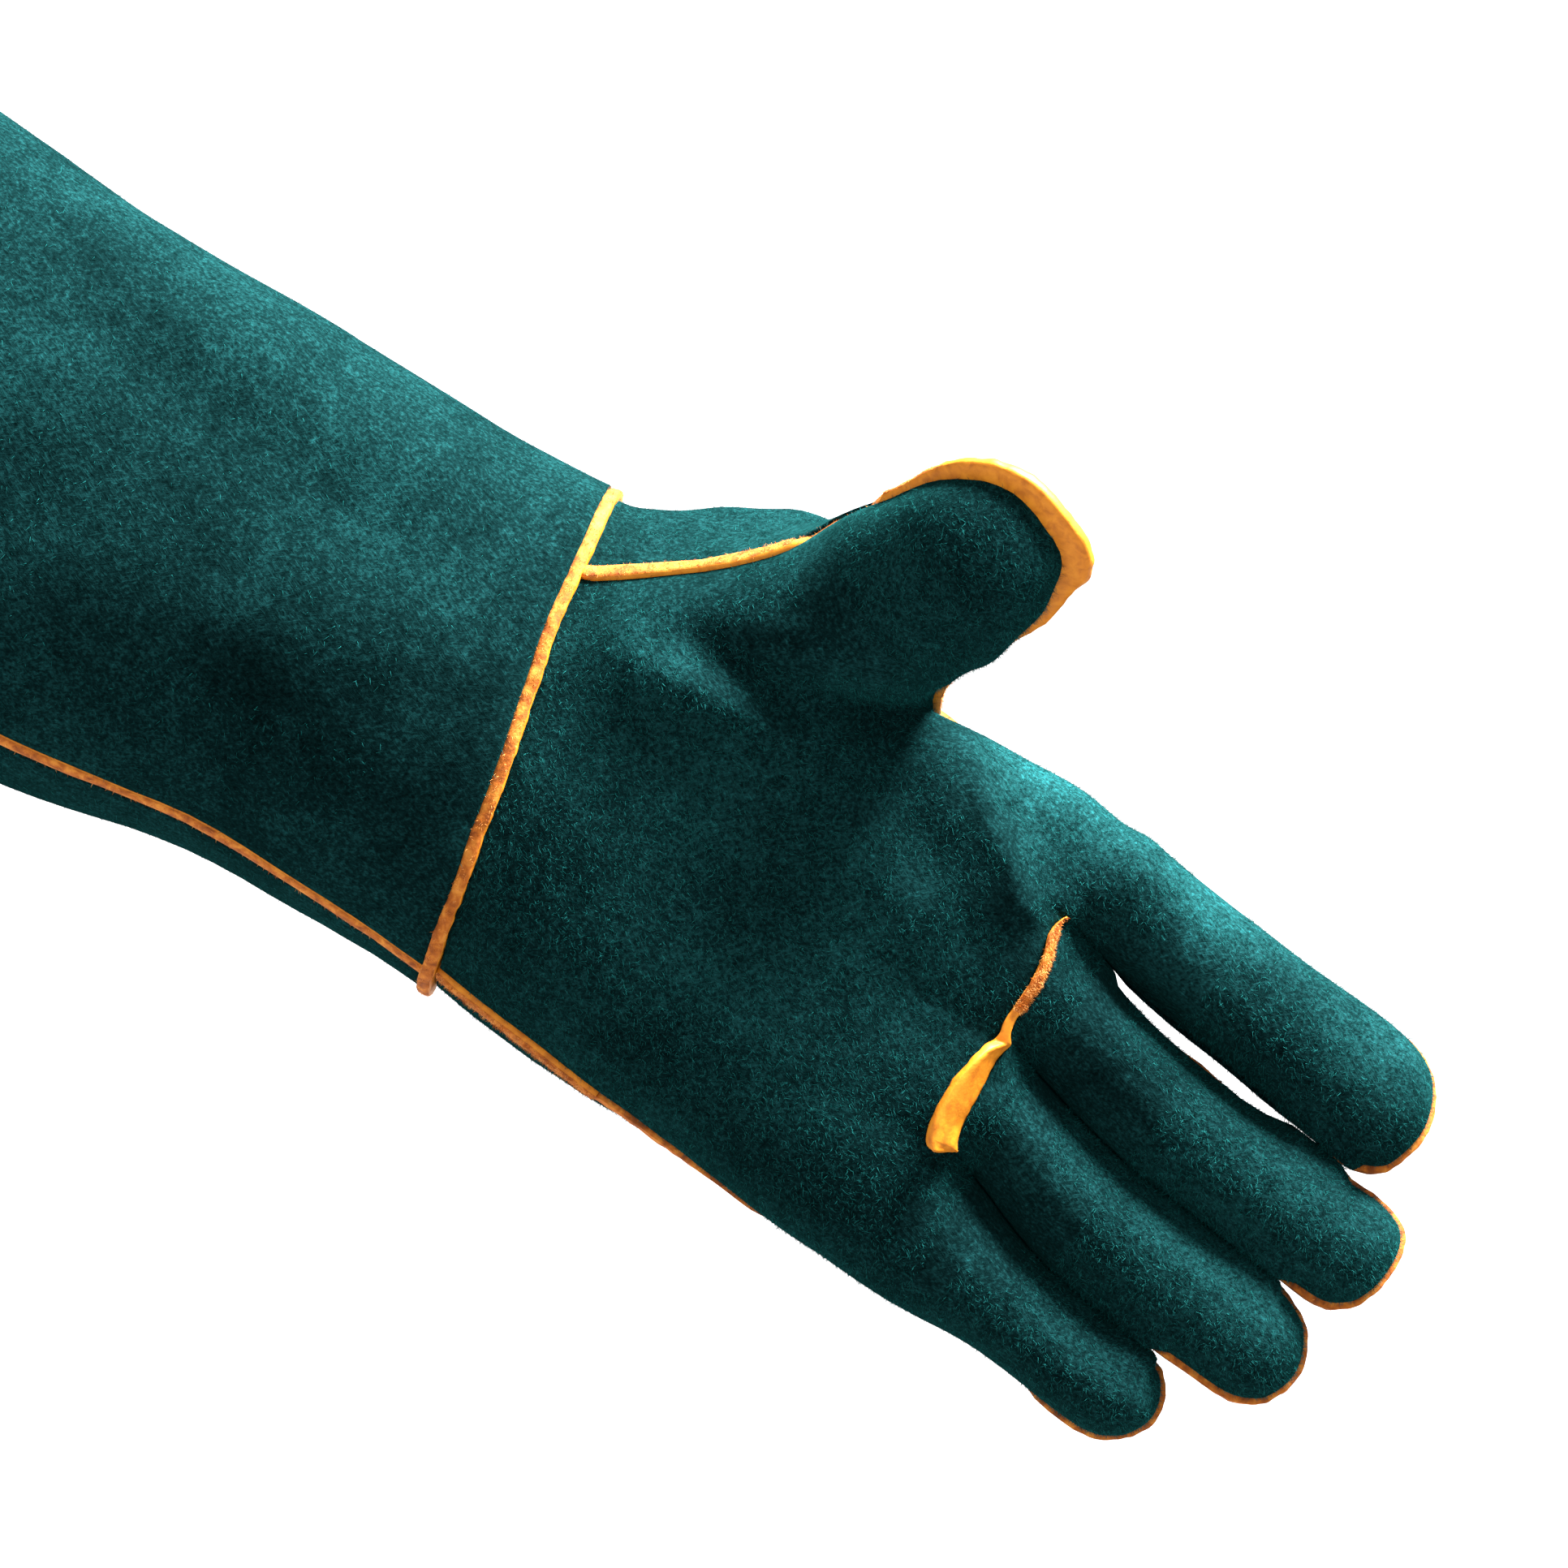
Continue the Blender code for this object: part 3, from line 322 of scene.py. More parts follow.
def colour(hexed):
    """Linear colour with alpha from an sRGB value such as "0f3b3a"."""
    parts = [int(hexed[i:i + 2], 16) / 255 for i in (0, 2, 4)]
    return [c / 12.92 if c <= 0.04045 else ((c + 0.055) / 1.055) ** 2.4 for c in parts] + [1.0]


def add(tree, kind, inputs=None, stops=(), **settings):
    """Adds a node. stops are the (place, sRGB colour) pairs of a colour ramp."""
    node = tree.nodes.new(kind)
    for name, value in settings.items():
        setattr(node, name, value)
    for name, value in (inputs or {}).items():
        if isinstance(value, bpy.types.NodeSocket):
            tree.links.new(value, node.inputs[name])
        else:
            node.inputs[name].default_value = value
    while stops and len(node.color_ramp.elements) < len(stops):
        node.color_ramp.elements.new(0.5)
    for i, (place, hexed) in enumerate(stops):
        node.color_ramp.elements[i].position = place
        node.color_ramp.elements[i].color = colour(hexed)
    return node


def new_material(name):
    """An empty node material and its tree."""
    made = bpy.data.materials.new(name)
    made.use_nodes = True
    made.node_tree.nodes.clear()
    return made, made.node_tree


print("the nap's lightest teal, linear:", [round(c, 3) for c in colour("1c585b")])

# %% [markdown]
# ## Split leather, dyed teal
# The outer side of split leather is a nap of short fibres that were raised by buffing. It scatters light, has
# no gloss, and looks lighter where the fibres are brushed up, so the eye sees soft patches, tufts and fine
# streaks. A tiled picture would repeat, so noises at real sizes make the pattern. On top of it lies painted
# light: painted highlights along the index finger's upper side and base, where the key light grazes, and
# painted shade on the glove's lower parts, at places set by pixels of the photograph.

# %% Sizes of the nap
NAP_GRAIN = 0.9 * MM
NAP_TUFT = 4.0 * MM
BRUSHED_PATCH = 32 * MM
NAP_LENGTH, NAP_WIDTH = 1.9 * MM, 0.38 * MM  # coarser than real fibres, which would be too fine to show
NAP_LEANS = (25, -40)
NAP_RELIEF = 0.5 * MM
PATCH_CONTRAST, TUFT_CONTRAST = 0.6, 0.4
PALM_IN_FRONT = -10 * MM
# Painted light: highlights along the index finger's upper side and base, where the key light grazes, and
# shade on the glove's lower parts; a positive amount lightens, a negative one darkens.
PAINTED_LIGHT_AND_SHADE = [
    # pixel      spread (mm)  lighter by
    ((1345, 985), 34, 0.28),
    ((1250, 930), 22, 0.12),
    ((1500, 1150), 36, 0.26),
    ((1660, 1290), 26, 0.12),
    ((430, 900), 52, -0.14),
    ((40, 640), 50, -0.12),
    ((900, 1120), 60, 0.04),
    ((1090, 1490), 40, -0.10),
    ((640, 1180), 30, -0.07),
]
print(len(PAINTED_LIGHT_AND_SHADE), "places of painted light and shade, streaks of", round(NAP_LENGTH / MM, 2), "mm")

# %% Suede


def nap_streaks(tree, place):
    """Two crossing layers of long thin noise: the fibres as they lie."""
    streaks = []
    for lean in NAP_LEANS:
        laid = add(tree, "ShaderNodeMapping",
                   {"Vector": place, "Rotation": (0, math.radians(lean), 0),
                    "Scale": (NAP_LENGTH, NAP_WIDTH, NAP_WIDTH)}, vector_type="TEXTURE")
        streaks.append(add(tree, "ShaderNodeTexNoise",
                           {"Vector": laid.outputs[0], "Scale": 1.0, "Detail": 2.0, "Distortion": 0.5}))
    return add(tree, "ShaderNodeMath", {i: streak.outputs["Fac"] for i, streak in enumerate(streaks)},
               operation="MAXIMUM").outputs[0]


def add_painted_light_and_shade(tree, place, tone):
    """Adds to a tone the painted highlight or painted shade of each place in the list, which fades out with
    the distance from it.
    """
    for pixel, spread, lighter in PAINTED_LIGHT_AND_SHADE:
        x, z = on_glove(*pixel)
        off = add(tree, "ShaderNodeVectorMath", {0: place, 1: (x, PALM_IN_FRONT, z)}, operation="DISTANCE")
        near = add(tree, "ShaderNodeMapRange",
                   {"Value": off.outputs["Value"], "From Max": spread * MM, "To Min": lighter, "To Max": 0.0},
                   interpolation_type="SMOOTHERSTEP")
        tone = add(tree, "ShaderNodeMath", {0: tone, 1: near.outputs["Result"]}, operation="ADD").outputs[0]
    return tone


def split_leather():
    made, tree = new_material("split_leather_teal_nap")
    place = add(tree, "ShaderNodeTexCoord").outputs["Object"]
    streak = nap_streaks(tree, place)
    patch = add(tree, "ShaderNodeTexNoise", {"Vector": place, "Scale": 1 / BRUSHED_PATCH, "Detail": 3.0})
    tuft = add(tree, "ShaderNodeTexNoise",
               {"Vector": place, "Scale": 1 / NAP_TUFT, "Detail": 4.0, "Distortion": 0.6})
    grain = add(tree, "ShaderNodeTexNoise", {"Vector": place, "Scale": 1 / NAP_GRAIN, "Detail": 3.0})
    soft = []
    for pattern, contrast in ((patch, PATCH_CONTRAST), (tuft, TUFT_CONTRAST)):
        weaker = add(tree, "ShaderNodeMath", {0: pattern.outputs["Fac"], 1: contrast, 2: 0.5 - contrast / 2},
                     operation="MULTIPLY_ADD")
        soft.append(weaker.outputs[0])
    # The painted highlights and painted shade go into the tone here.
    tone = add_painted_light_and_shade(tree, place, soft[0])
    for layer in (soft[1], grain.outputs["Fac"], streak):
        tone = add(tree, "ShaderNodeMath", {0: tone, 1: layer}, operation="ADD").outputs[0]
    mean = add(tree, "ShaderNodeMath", {0: tone, 1: 1 / 4}, operation="MULTIPLY")
    shade = add(tree, "ShaderNodeValToRGB", {"Fac": mean.outputs[0]},
                stops=((0.43, "020809"), (0.51, "06191a"), (0.59, "103334"), (0.68, "1c585b")))
    height = add(tree, "ShaderNodeMath", {0: tuft.outputs["Fac"], 1: streak}, operation="ADD")
    bump = add(tree, "ShaderNodeBump", {"Height": height.outputs[0], "Strength": 0.5, "Distance": NAP_RELIEF})
    shader = add(tree, "ShaderNodeBsdfPrincipled",
                 {"Base Color": shade.outputs["Color"], "Normal": bump.outputs["Normal"], "Roughness": 0.95,
                  "Specular IOR Level": 0.0, "Sheen Weight": 0.08, "Sheen Roughness": 0.6,
                  "Sheen Tint": colour("37a09b")})
    add(tree, "ShaderNodeOutputMaterial", {"Surface": shader.outputs["BSDF"]})
    return made


SUEDE = split_leather()
INSIDE = SUEDE.copy()
INSIDE.name = "split_leather_inner_side"
print(SUEDE.name, "has", len(SUEDE.node_tree.nodes), "nodes")

# %% [markdown]
# ## The welts' leather
# The strips are cut from smooth leather dyed yellow-orange. Their faces are satin and even in colour. The
# cut edges, which are all that most seams show, are browner, rough and fibrous, so they hardly shine.
# One function makes both finishes, since they are the same leather seen from two sides.

# %% Welt leather
DYE_SPOTS = 2.5 * MM
LEATHER_FIBRES = 0.7 * MM


def welt_leather(name, dark, middle, light, rough, relief):
    made, tree = new_material(name)
    place = add(tree, "ShaderNodeTexCoord").outputs["Object"]
    spots = add(tree, "ShaderNodeTexNoise",
                {"Vector": place, "Scale": 1 / DYE_SPOTS, "Detail": 5.0, "Distortion": 0.4})
    shade = add(tree, "ShaderNodeValToRGB", {"Fac": spots.outputs["Fac"]},
                stops=((0.32, dark), (0.5, middle), (0.68, light)))
    fibres = add(tree, "ShaderNodeTexNoise", {"Vector": place, "Scale": 1 / LEATHER_FIBRES, "Detail": 4.0})
    bump = add(tree, "ShaderNodeBump", {"Height": fibres.outputs["Fac"], "Strength": 0.5, "Distance": relief})
    shader = add(tree, "ShaderNodeBsdfPrincipled",
                 {"Base Color": shade.outputs["Color"], "Normal": bump.outputs["Normal"],
                  "Roughness": rough, "Specular IOR Level": 0.3})
    add(tree, "ShaderNodeOutputMaterial", {"Surface": shader.outputs["BSDF"]})
    return made


WELT_FACE = welt_leather("smooth_leather_yellow_face", "b5640a", "cc7810", "d9861a", 0.55, 0.1 * MM)
# The darker cut-edge finish is the strips' real cut edge, and also painted shade on the finger welt's dyed
# sides.
WELT_CUT_AND_SHADE = welt_leather("smooth_leather_cut_edge_and_painted_shade", "7a3a06", "a65812", "c67c2a", 0.85, 0.3 * MM)
print("welts:", WELT_FACE.name, "and", WELT_CUT_AND_SHADE.name)

# %% [markdown]
# ## Loose fibres of the nap
# A close look at split leather shows single fibres that stand off it and blur its outline. Hair curves
# would be lost in an export, so Geometry Nodes scatter thin three-sided spikes over the outer side,
# combed towards the fingers and strayed at random. They are about three times as thick as real fibres,
# which would be too fine to show.

# %% The fibres' colour
FIBRE_SPOTS = 1.5 * MM


def fibre_material(name, dark, light):
    """Dull fibres, some darker than others, so the nap looks deep and not like one coat of paint."""
    made, tree = new_material(name)
    place = add(tree, "ShaderNodeTexCoord").outputs["Object"]
    spots = add(tree, "ShaderNodeTexNoise", {"Vector": place, "Scale": 1 / FIBRE_SPOTS, "Detail": 1.0})
    shade = add(tree, "ShaderNodeValToRGB", {"Fac": spots.outputs["Fac"]},
                stops=((0.35, dark), (0.65, light)))
    shader = add(tree, "ShaderNodeBsdfPrincipled",
                 {"Base Color": shade.outputs["Color"], "Roughness": 0.9, "Specular IOR Level": 0.0})
    add(tree, "ShaderNodeOutputMaterial", {"Surface": shader.outputs["BSDF"]})
    return made


NAP_FIBRE = fibre_material("split_leather_loose_fibre", "052b2b", "1b5c5a")
CUT_FIBRE = fibre_material("smooth_leather_loose_fibre", "a9561b", "e0a05c")
print("fibres:", NAP_FIBRE.name, "and", CUT_FIBRE.name)

# %% A tree that grows fibres
COMBED = (0.9, 0.0, -0.45)
SHORTEST, LONGEST = 0.45, 1.2
TREE_NUMBERS = ("Fibres per square metre", "Length", "Radius")


def fibre_tree(name, material, lift, comb, stray):
    """Spikes on the faces of the first material. lift, comb and stray say how a fibre leans."""
    tree = bpy.data.node_groups.new(name, "GeometryNodeTree")
    face = tree.interface
    face.new_socket("Geometry", in_out="INPUT", socket_type="NodeSocketGeometry")
    for title in TREE_NUMBERS:
        face.new_socket(title, in_out="INPUT", socket_type="NodeSocketFloat")
    face.new_socket("Geometry", in_out="OUTPUT", socket_type="NodeSocketGeometry")
    given = tree.nodes.new("NodeGroupInput").outputs
    slot = add(tree, "GeometryNodeInputMaterialIndex")
    nap = add(tree, "FunctionNodeCompare", {2: slot.outputs[0]}, data_type="INT", operation="EQUAL")
    spots = add(tree, "GeometryNodeDistributePointsOnFaces",
                {"Mesh": given["Geometry"], "Selection": nap.outputs[0],
                 "Density": given["Fibres per square metre"], "Seed": 7})
    up = add(tree, "ShaderNodeVectorMath", {0: spots.outputs["Normal"], "Scale": lift}, operation="SCALE")
    chance = add(tree, "FunctionNodeRandomValue", {"Seed": 3, 0: (-stray,) * 3, 1: (stray,) * 3},
                 data_type="FLOAT_VECTOR")
    lean = add(tree, "ShaderNodeVectorMath", {0: up.outputs[0], 1: chance.outputs[0]}, operation="ADD")
    lean = add(tree, "ShaderNodeVectorMath", {0: lean.outputs[0], 1: [c * comb for c in COMBED]},
               operation="ADD")
    turn = add(tree, "FunctionNodeAlignRotationToVector", {"Vector": lean.outputs[0]}, axis="Z")
    spike = add(tree, "GeometryNodeMeshCone",
                {"Radius Bottom": given["Radius"], "Depth": given["Length"], "Vertices": 3},
                fill_type="NONE")
    size = add(tree, "FunctionNodeRandomValue", {"Seed": 5, 2: SHORTEST, 3: LONGEST}, data_type="FLOAT")
    placed = add(tree, "GeometryNodeInstanceOnPoints",
                 {"Points": spots.outputs["Points"], "Instance": spike.outputs["Mesh"],
                  "Rotation": turn.outputs[0], "Scale": size.outputs[1]})
    real = add(tree, "GeometryNodeRealizeInstances", {"Geometry": placed.outputs[0]})
    done = add(tree, "GeometryNodeSetMaterial", {"Geometry": real.outputs[0], "Material": material})
    add(tree, "NodeGroupOutput", {"Geometry": done.outputs[0]})
    return tree


NAP_TREE = fibre_tree("nap_fibres", NAP_FIBRE, 0.42, 0.5, 1.0)
CUT_TREE = fibre_tree("cut_edge_fibres", CUT_FIBRE, 0.8, 0.2, 1.0)
print("trees:", NAP_TREE.name, "and", CUT_TREE.name)

# %% [markdown]
# ## Outside or inside
# A panel is one wall, and only its outer side carries the raised nap with its fibres. From each face of
# the CAD panel a few rays look out in all directions. Where hardly any leaves the glove without meeting
# leather, the face lies inside. That also finds the deep edges in the seams, which a test of the faces'
# directions alone would miss.

# %% How open a face lies
LEATHER_NODES = ("gauntlet", "palm_panel", "middle_fingers_front", "back_panel")
LOOKS = 24
LOOK_STARTS = 0.2
FLATTEST_LOOK = 0.1

shape = bmesh.new()
for node in LEATHER_NODES:
    shape.from_mesh(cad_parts[node].data)
SKIN = BVHTree.FromBMesh(shape)
shape.free()

SPREAD_LOOKS = []
for i in range(LOOKS):
    height = 1 - 2 * (i + 0.5) / LOOKS
    turn = i * math.pi * (3 - math.sqrt(5))
    across = math.sqrt(1 - height * height)
    SPREAD_LOOKS.append(Vector((across * math.cos(turn), across * math.sin(turn), height)))


def openness(face):
    """The share of straight looks from a face that leave the glove without meeting leather."""
    start = face.center + face.normal * LOOK_STARTS * MM
    tried = [look for look in SPREAD_LOOKS if look.dot(face.normal) > FLATTEST_LOOK]
    return sum(SKIN.ray_cast(start, look)[0] is None for look in tried) / len(tried)


print(len(SPREAD_LOOKS), "looks from each face")

# %% [markdown]
# ## The leather panels
# Gauntlet, palm, back and the fronts of the two middle fingers are stiff split leather, about 2.5 mm
# thick. They are copied from the CAD, which has their walls and main folds, and made finer there. The
# nap goes on the outer side, the plain inner side of the same leather on the rest.

# %% Leather panels
PANEL_CREASE = 0.7
OUTSIDE_IS_OPEN = 0.16
leather = {}
for node in LEATHER_NODES:
    piece = paired_copy(node, node + "_suede", PANEL_CREASE)
    piece.data.materials.append(SUEDE)
    piece.data.materials.append(INSIDE)
    for face in piece.data.polygons:
        face.material_index = 0 if openness(face) > OUTSIDE_IS_OPEN else 1
    made_finer(piece)
    leather[node] = piece

# %% [markdown]
# ## The welts
# A welt's outermost face is its cut edge. The faces beside it are the dyed side of the strip, which shows
# round the tip of the thumb, where the strip stands up high, and at the lower end of the strip across the
# fingers' bases, which lies flat. The finger welt's dyed sides show too, but get the darker cut-edge finish
# as painted shade. The CAD has each strip as a solid of its own, so a copy of it only needs the right finish
# on the right faces.

# %% Welt strips
WELT_NODES = ("wrist_welt", "gauntlet_welt", "thumb_welt", "finger_welt", "heel_welt", "finger_base_welt")
WELT_CREASE = 0.6
THUMB_TIP = on_glove(1275, 650)
FACE_SHOWS_WITHIN = 24 * MM
STRIP_TURNS_AT = on_glove(1235, 1250)
CUT_IS_OPEN = 0.45


def cut_edge_or_painted_shade(node, face):
    """Whether a strip's face gets the darker cut-edge finish: its fibrous cut edge, and on the finger welt
    every face, as painted shade.
    """
    # On the finger welt the dyed sides get the darker cut-edge finish too: painted shade.
    if node == "finger_welt":
        return True
    centre = face.center
    if node == "thumb_welt" and math.dist((centre.x, centre.z), THUMB_TIP) < FACE_SHOWS_WITHIN:
        return False
    if node == "finger_base_welt" and centre.z < STRIP_TURNS_AT[1]:
        return False
    return openness(face) > CUT_IS_OPEN


welts = {}
for node in WELT_NODES:
    piece = paired_copy(node, node + "_strip", WELT_CREASE)
    piece.data.materials.append(WELT_CUT_AND_SHADE)
    piece.data.materials.append(WELT_FACE)
    for face in piece.data.polygons:
        face.material_index = 0 if cut_edge_or_painted_shade(node, face) else 1
    made_finer(piece)
    welts[node] = piece

# %% [markdown]
# ## All pieces follow the same fields
# On the real glove a fold runs through panel, seam and strip alike. So each vertex of each piece is
# moved by the same three fields: first the fingers and the outline, then the folds on top of them.

# %% Move every piece


def positions(mesh):
    found = np.empty(len(mesh.vertices) * 3)
    mesh.vertices.foreach_get("co", found)
    return found.reshape(-1, 3)


def move_to(mesh, points):
    mesh.vertices.foreach_set("co", points.ravel())
    mesh.update()


for piece in [*leather.values(), *welts.values()]:
    points = positions(piece.data)
    points = points + finger_field(points) + shift_field(points, SHIFTS)
    move_to(piece.data, points + fold_field(points))
print("moved", len(leather) + len(welts), "pieces")

# %% [markdown]
# ## Strips that lie deep
# Along the ball of the thumb, beside the index and the little finger and at the wrist's lower end, the
# leather bulges over the strip, so the photograph shows it as a thin line or not at all. There the strip
# alone is moved in or to the back, between the panels that hold it.

# %% Sink the strips between their panels
STRIP_SINKS = [
    # node        from         to           way in, in metres for a metre of depth   depth (mm)
    ("thumb_welt", (985, 682), (1080, 622), (0.35, 0.75, -0.55), 3.2),
    ("finger_welt", (1175, 885), (1752, 1275), (-0.1, 0.4, -0.9), 2.2),
    ("finger_welt", (935, 1470), (1285, 1725), (0.0, 0.5, 0.85), 2.2),
    ("wrist_welt", (500, 1100), (560, 1290), (-0.4, 0.0, -0.9), 1.8),
]
SINK_SPREAD = 7 * MM
SINK_ENDS = (0.1, 0.9, 0.1)
for node, first, last, inward, depth in STRIP_SINKS:
    strip = welts[node].data
    points = positions(strip)
    share, beside = along_path(points[:, [0, 2]], [first, last])
    sunk = np.exp(-(np.linalg.norm(beside, axis=1) / SINK_SPREAD) ** 2) * between(share, *SINK_ENDS)
    move_to(strip, points + sunk[:, None] * np.array(inward) * depth * MM)
    print(node, "goes in by up to", depth, "mm")

# %% [markdown]
# ## The strip between the fingers
# The finger welt runs down one side of a gap and up the other. From the front both runs hide in the
# leather, so each goes sideways into its own finger, and a little to the back. Which finger is its own is
# found from the mesh: vertices that are joined inside the gap form one run, and its mean place tells the
# side. A test of single vertices would tear a run that wavers across the middle.

# %% Sink the finger welt in the gaps
GAP_REACH = 8 * MM
FORK_AND_TIPS = 0.02
RUN_SPREAD = 6 * MM
RUN_ENDS = (0.1, 0.8, 0.18)
RUN_GOES_BACK = 2.5


def own_sides(mesh, inside, across):
    """+1 or -1 for each vertex inside a gap: the side on which its own run of the strip lies."""
    ends = np.array([edge.vertices[:] for edge in mesh.edges])
    ends = ends[inside[ends].all(axis=1)]
    run = np.arange(len(inside))
    while True:
        lowest = np.minimum(run[ends[:, 0]], run[ends[:, 1]])
        joined = run.copy()
        np.minimum.at(joined, ends[:, 0], lowest)
        np.minimum.at(joined, ends[:, 1], lowest)
        if (joined == run).all():
            break
        run = joined
    total = np.bincount(run, weights=across, minlength=len(run))
    size = np.bincount(run, minlength=len(run))
    return np.where(total[run] / size[run] > across[inside].mean(), 1.0, -1.0)


def square_to(start, end):
    """The direction square to the way from start to end, in the photograph's plane."""
    way = (end - start) / np.linalg.norm(end - start)
    return np.array([-way[1], way[0]])


strip = welts["finger_welt"].data
points = positions(strip)
for pixels, _, _, sinks in GAPS:
    share, beside = along_path(points[:, [0, 2]], pixels)
    away = np.linalg.norm(beside, axis=1)
    side = square_to(np.array(on_glove(*pixels[0])), np.array(on_glove(*pixels[-1])))
    inside = (share > FORK_AND_TIPS) & (share < 1 - FORK_AND_TIPS) & (away < GAP_REACH)
    sides = own_sides(strip, inside, beside @ side)
    sunk = inside * np.exp(-(away / RUN_SPREAD) ** 4) * between(share, *RUN_ENDS)
    points[:, [0, 2]] += (sides * sunk * sinks * MM)[:, None] * side
    points[:, 1] += sunk * RUN_GOES_BACK * MM
    print(int(inside.sum()), "vertices of the finger welt lie in this gap")
move_to(strip, points)

# %% [markdown]
# ## The strip across the fingers' bases
# This welt stands on edge at the index finger and turns until it lies flat and wide at the ring finger's
# base, where its dyed side shows. The CAD's strip has one width, so its lower half is widened step by
# step, and three small shifts bring its ends and its bend to the real one's places.

# %% Widen the lower end of the base strip
WIDE_FROM, WIDE_AT = np.array(on_glove(1235, 1250)), np.array(on_glove(1158, 1402))
WIDER_BY = 0.2
BASE_SHIFTS = [
    # pixel       spread, right, down (mm)
    ((1124, 1414), 3.0, 2.8, -1.0),
    ((1322, 1140), 2.0, 0.5, 1.4),
    ((1268, 1276), 2.6, -1.4, -0.8),
]
strip = welts["finger_base_welt"].data
points = positions(strip)
length = np.linalg.norm(WIDE_AT - WIDE_FROM)
way, side = (WIDE_AT - WIDE_FROM) / length, square_to(WIDE_FROM, WIDE_AT)
off = points[:, [0, 2]] - WIDE_FROM
widen = eased((off @ way) / length) * WIDER_BY
points[:, [0, 2]] += (widen * (off @ side))[:, None] * side
points += shift_field(points, BASE_SHIFTS)
move_to(strip, points)
print("base strip widened over", round(length / MM, 1), "mm")

# %% [markdown]
# ## Raw edges
# A cut edge of leather isn't crisp: it swells and wavers where knife and needle have worked it. Each
# strip's surface is moved along its normals, by a set amount and by a fine noise, because the eye reads
# that uneven outline even where the strip is only two pixels wide.

# %% Swell the strips
EDGE_SWELLS = {"wrist_welt": 0.5, "gauntlet_welt": 0.45, "thumb_welt": 0.55, "heel_welt": 0.4,
               "finger_welt": -0.15, "finger_base_welt": 0.15}
EDGE_WAVES = 0.35
EDGE_WAVE_SIZE = 2.2 * MM
for node, piece in welts.items():
    strip = piece.data
    points = positions(strip)
    outward = np.empty(points.size)
    strip.vertices.foreach_get("normal", outward)
    waves = np.array([noise.noise(Vector(p) / EDGE_WAVE_SIZE) for p in points])
    rise = (EDGE_SWELLS[node] + EDGE_WAVES * waves) * MM
    move_to(strip, points + outward.reshape(-1, 3) * rise[:, None])
    print(node, "swells by", round(rise.min() / MM, 2), "to", round(rise.max() / MM, 2), "mm")

# %% [markdown]
# ## Nap and fuzz
# The panels get a dense nap of fibres, the strips a thin fuzz on their cut edges. They grow last, on the
# moved and finished surfaces, so they stand on them at every fold. Nap and fuzz are pieces of their own:
# no CAD solid carries them, and they can be left out where a lighter model is needed.

# %% Grow the fibres
NAP_COUNTS = {"gauntlet": 62000, "palm_panel": 60000, "middle_fingers_front": 24000, "back_panel": 56000}
NAP_FIBRE_SIZE = (1.5 * MM, 0.05 * MM)
FUZZ_COUNT = 1200
FUZZ_FIBRE_SIZE = (0.9 * MM, 0.06 * MM)


def grow(carrier, name, tree, count, length, radius):
    """A mesh of fibres on an object's outer side."""
    made = link(name, carrier.data.copy())
    outer = sum(face.area for face in carrier.data.polygons if face.material_index == 0)
    grower = made.modifiers.new("grower", "NODES")
    grower.node_group = tree
    values = dict(zip(TREE_NUMBERS, (count / outer, length, radius)))
    for item in tree.interface.items_tree:
        if item.name in values:
            grower[item.identifier] = values[item.name]
    evaluated_mesh(made)
    print(name, len(made.data.polygons), "faces")
    return made


for node, count in NAP_COUNTS.items():
    nap = grow(leather[node], node + "_nap", NAP_TREE, count, *NAP_FIBRE_SIZE)
    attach(nap, "root")
for node, piece in welts.items():
    fuzz = grow(piece, node + "_fuzz", CUT_TREE, FUZZ_COUNT, *FUZZ_FIBRE_SIZE)
    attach(fuzz, "root")

# %% [markdown]
# ## The pieces take their solids' places
# Leather has no joints, so every piece rides on the glove's one body. Each panel and each strip replaces
# the CAD node that it was copied from, and its slot says which of the two leathers it is.

# %% Each piece stands for its CAD node
for node, piece in {**leather, **welts}.items():
    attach(piece, "root")
    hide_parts(node)
print(len(leather) + len(welts), "CAD nodes replaced")

# %% [markdown]
# ## The studio
# The photograph shows the glove on pure white, so a white sweep stands behind and far below it. A sheet
# that bends up without an edge leaves no line between floor and wall in the picture.

# %% A white sweep
FLOOR_LEVEL = -2.5
SWEEP_FRONT, SWEEP_TOP, SWEEP_HALF_WIDTH = -4.0, 6.0, 5.0
SWEEP_BENDS_AT, SWEEP_RADIUS, SWEEP_STEPS = 1.5, 1.0, 8


def flat_white():
    """Matt paper: no gloss that would show on it."""
    made, tree = new_material("white_sweep")
    shader = add(tree, "ShaderNodeBsdfPrincipled", {"Roughness": 0.9, "Base Color": colour("d8d8d8")})
    add(tree, "ShaderNodeOutputMaterial", {"Surface": shader.outputs["BSDF"]})
    return made


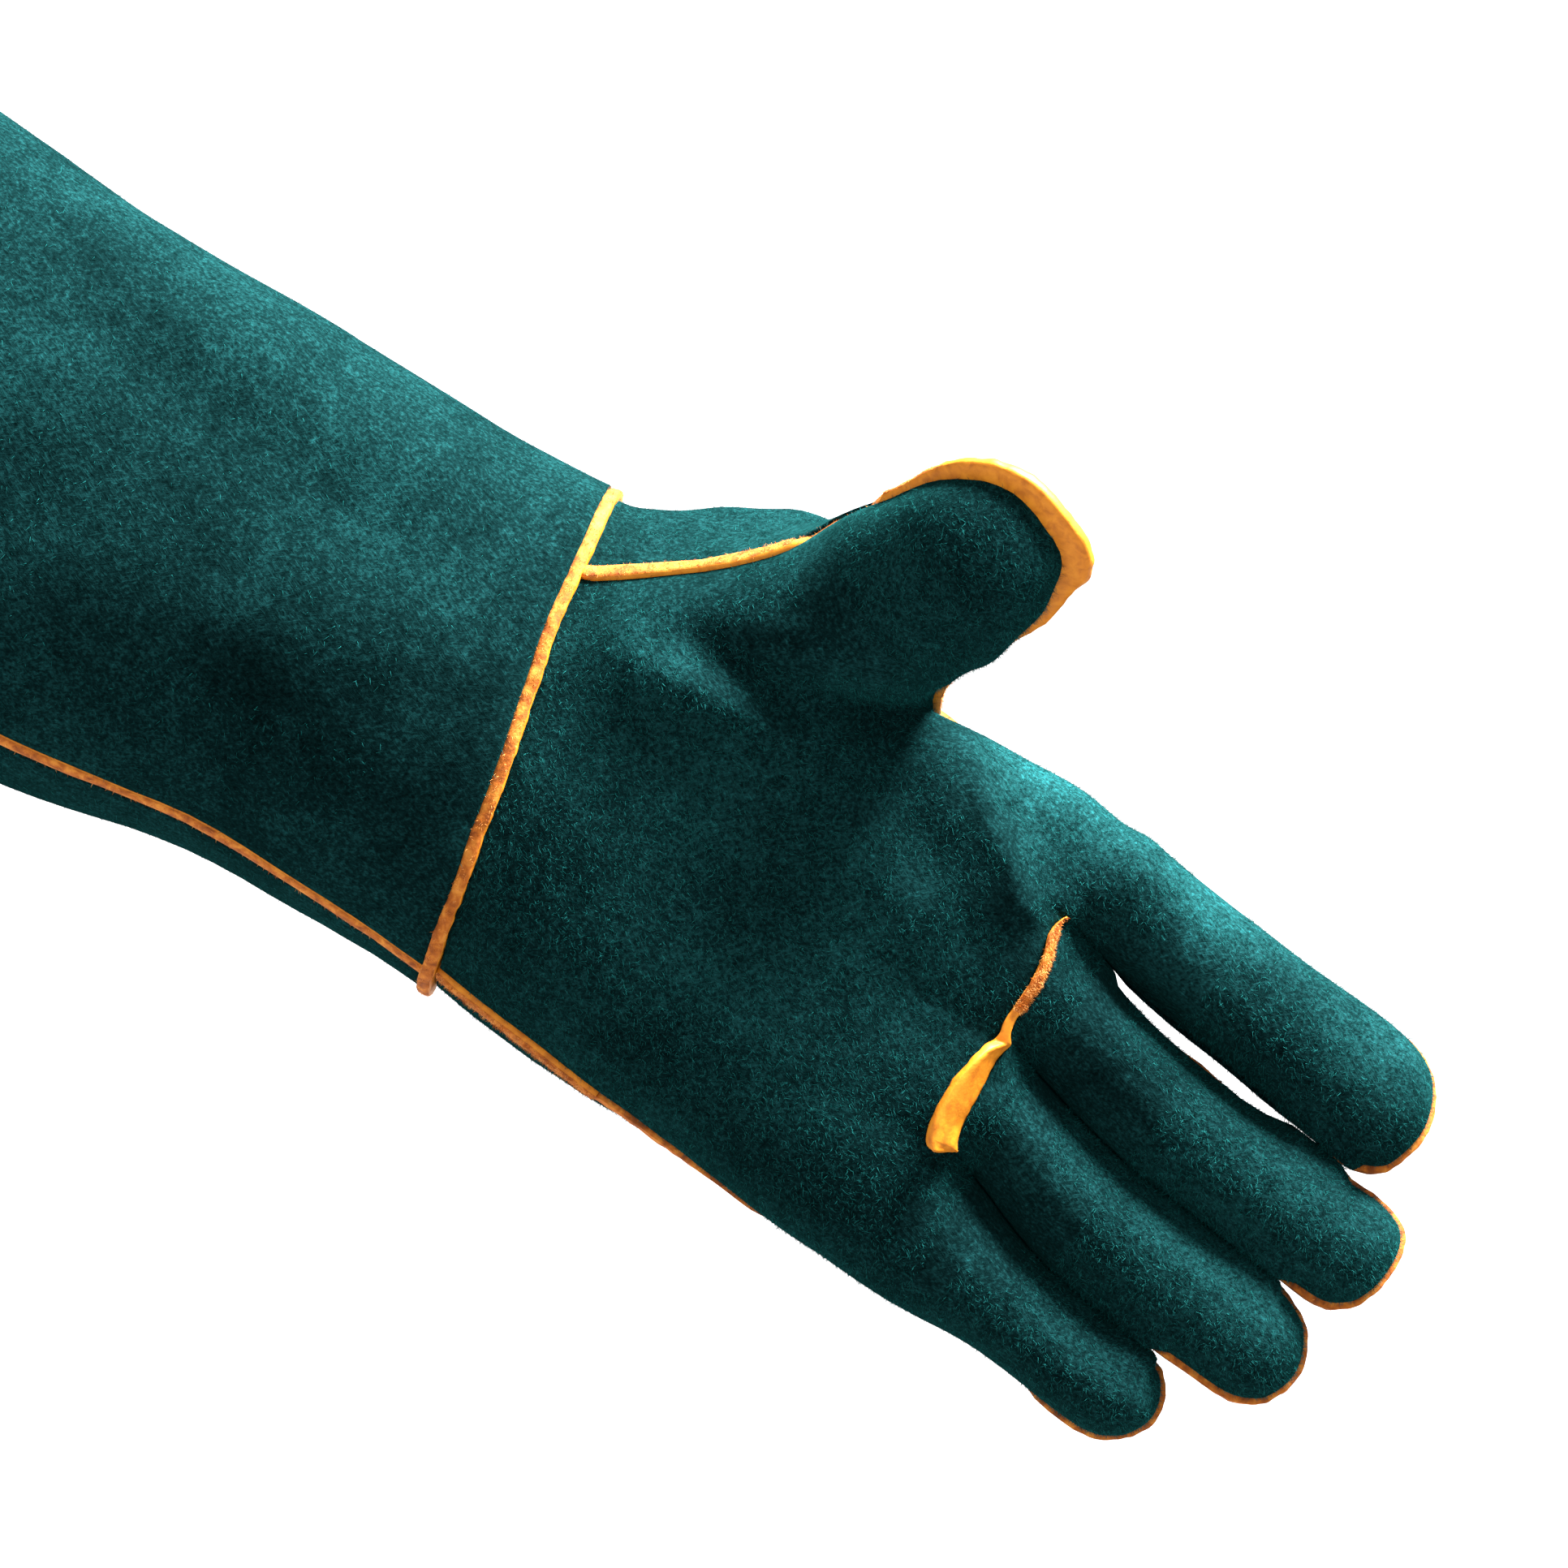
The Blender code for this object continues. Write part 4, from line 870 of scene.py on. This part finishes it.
profile = [(SWEEP_FRONT, 0.0), (SWEEP_BENDS_AT, 0.0)]
for i in range(1, SWEEP_STEPS + 1):
    turn = math.radians(90) * i / SWEEP_STEPS
    profile.append((SWEEP_BENDS_AT + SWEEP_RADIUS * math.sin(turn), SWEEP_RADIUS * (1 - math.cos(turn))))
profile.append((SWEEP_BENDS_AT + SWEEP_RADIUS, SWEEP_TOP))
sweep = bmesh.new()
rows = [[sweep.verts.new((x, y, FLOOR_LEVEL + z)) for y, z in profile]
        for x in (-SWEEP_HALF_WIDTH, SWEEP_HALF_WIDTH)]
for a in range(len(profile) - 1):
    sweep.faces.new((rows[0][a], rows[1][a], rows[1][a + 1], rows[0][a + 1]))
floor_mesh = bpy.data.meshes.new("white_sweep")
sweep.to_mesh(floor_mesh)
sweep.free()
floor = link("white_sweep", floor_mesh)
floor.data.shade_smooth()
floor.data.materials.append(flat_white())
print("sweep of", len(floor_mesh.polygons), "faces")

# %% [markdown]
# ## Light and camera
# A white world lights the glove evenly, and one soft light from above grazes the palm, so that the folds
# show as light and shade, which a light beside the camera would wash out. The view transform "Standard"
# keeps the background pure white. The camera stands where its perspective puts the wrist and all five
# fingertips on the photograph's own pixels, rolled by the same 30 degrees as the places read off it.

# %% Light and camera
KEY_AT, KEY_POWER, KEY_SIZE = (0.05, -0.24, 1.5), 305, 0.6
CAMERA_AT = (0.0561, -0.843, 0.0215)
LENS, SENSOR_WIDTH = 85, 36

scene.view_settings.view_transform = "Standard"
world = bpy.data.worlds.new("studio")
scene.world = world
world.use_nodes = True
world.node_tree.nodes["Background"].inputs["Color"].default_value = (1, 1, 1, 1)
world.node_tree.nodes["Background"].inputs["Strength"].default_value = 1.0

lamp = bpy.data.lights.new("key", "AREA")
lamp.energy = KEY_POWER
lamp.size = KEY_SIZE
key = link("key", lamp)
key.location = KEY_AT
key.rotation_euler = (-Vector(KEY_AT)).to_track_quat("-Z", "Y").to_euler()

lens = bpy.data.cameras.new("photo_camera")
lens.lens = LENS
lens.sensor_width = SENSOR_WIDTH
camera = link("photo_camera", lens)
camera.location = CAMERA_AT
camera.rotation_euler = (math.radians(90), -ROLL, 0)
scene.camera = camera
print("camera at", CAMERA_AT, "with a lens of", LENS, "mm")
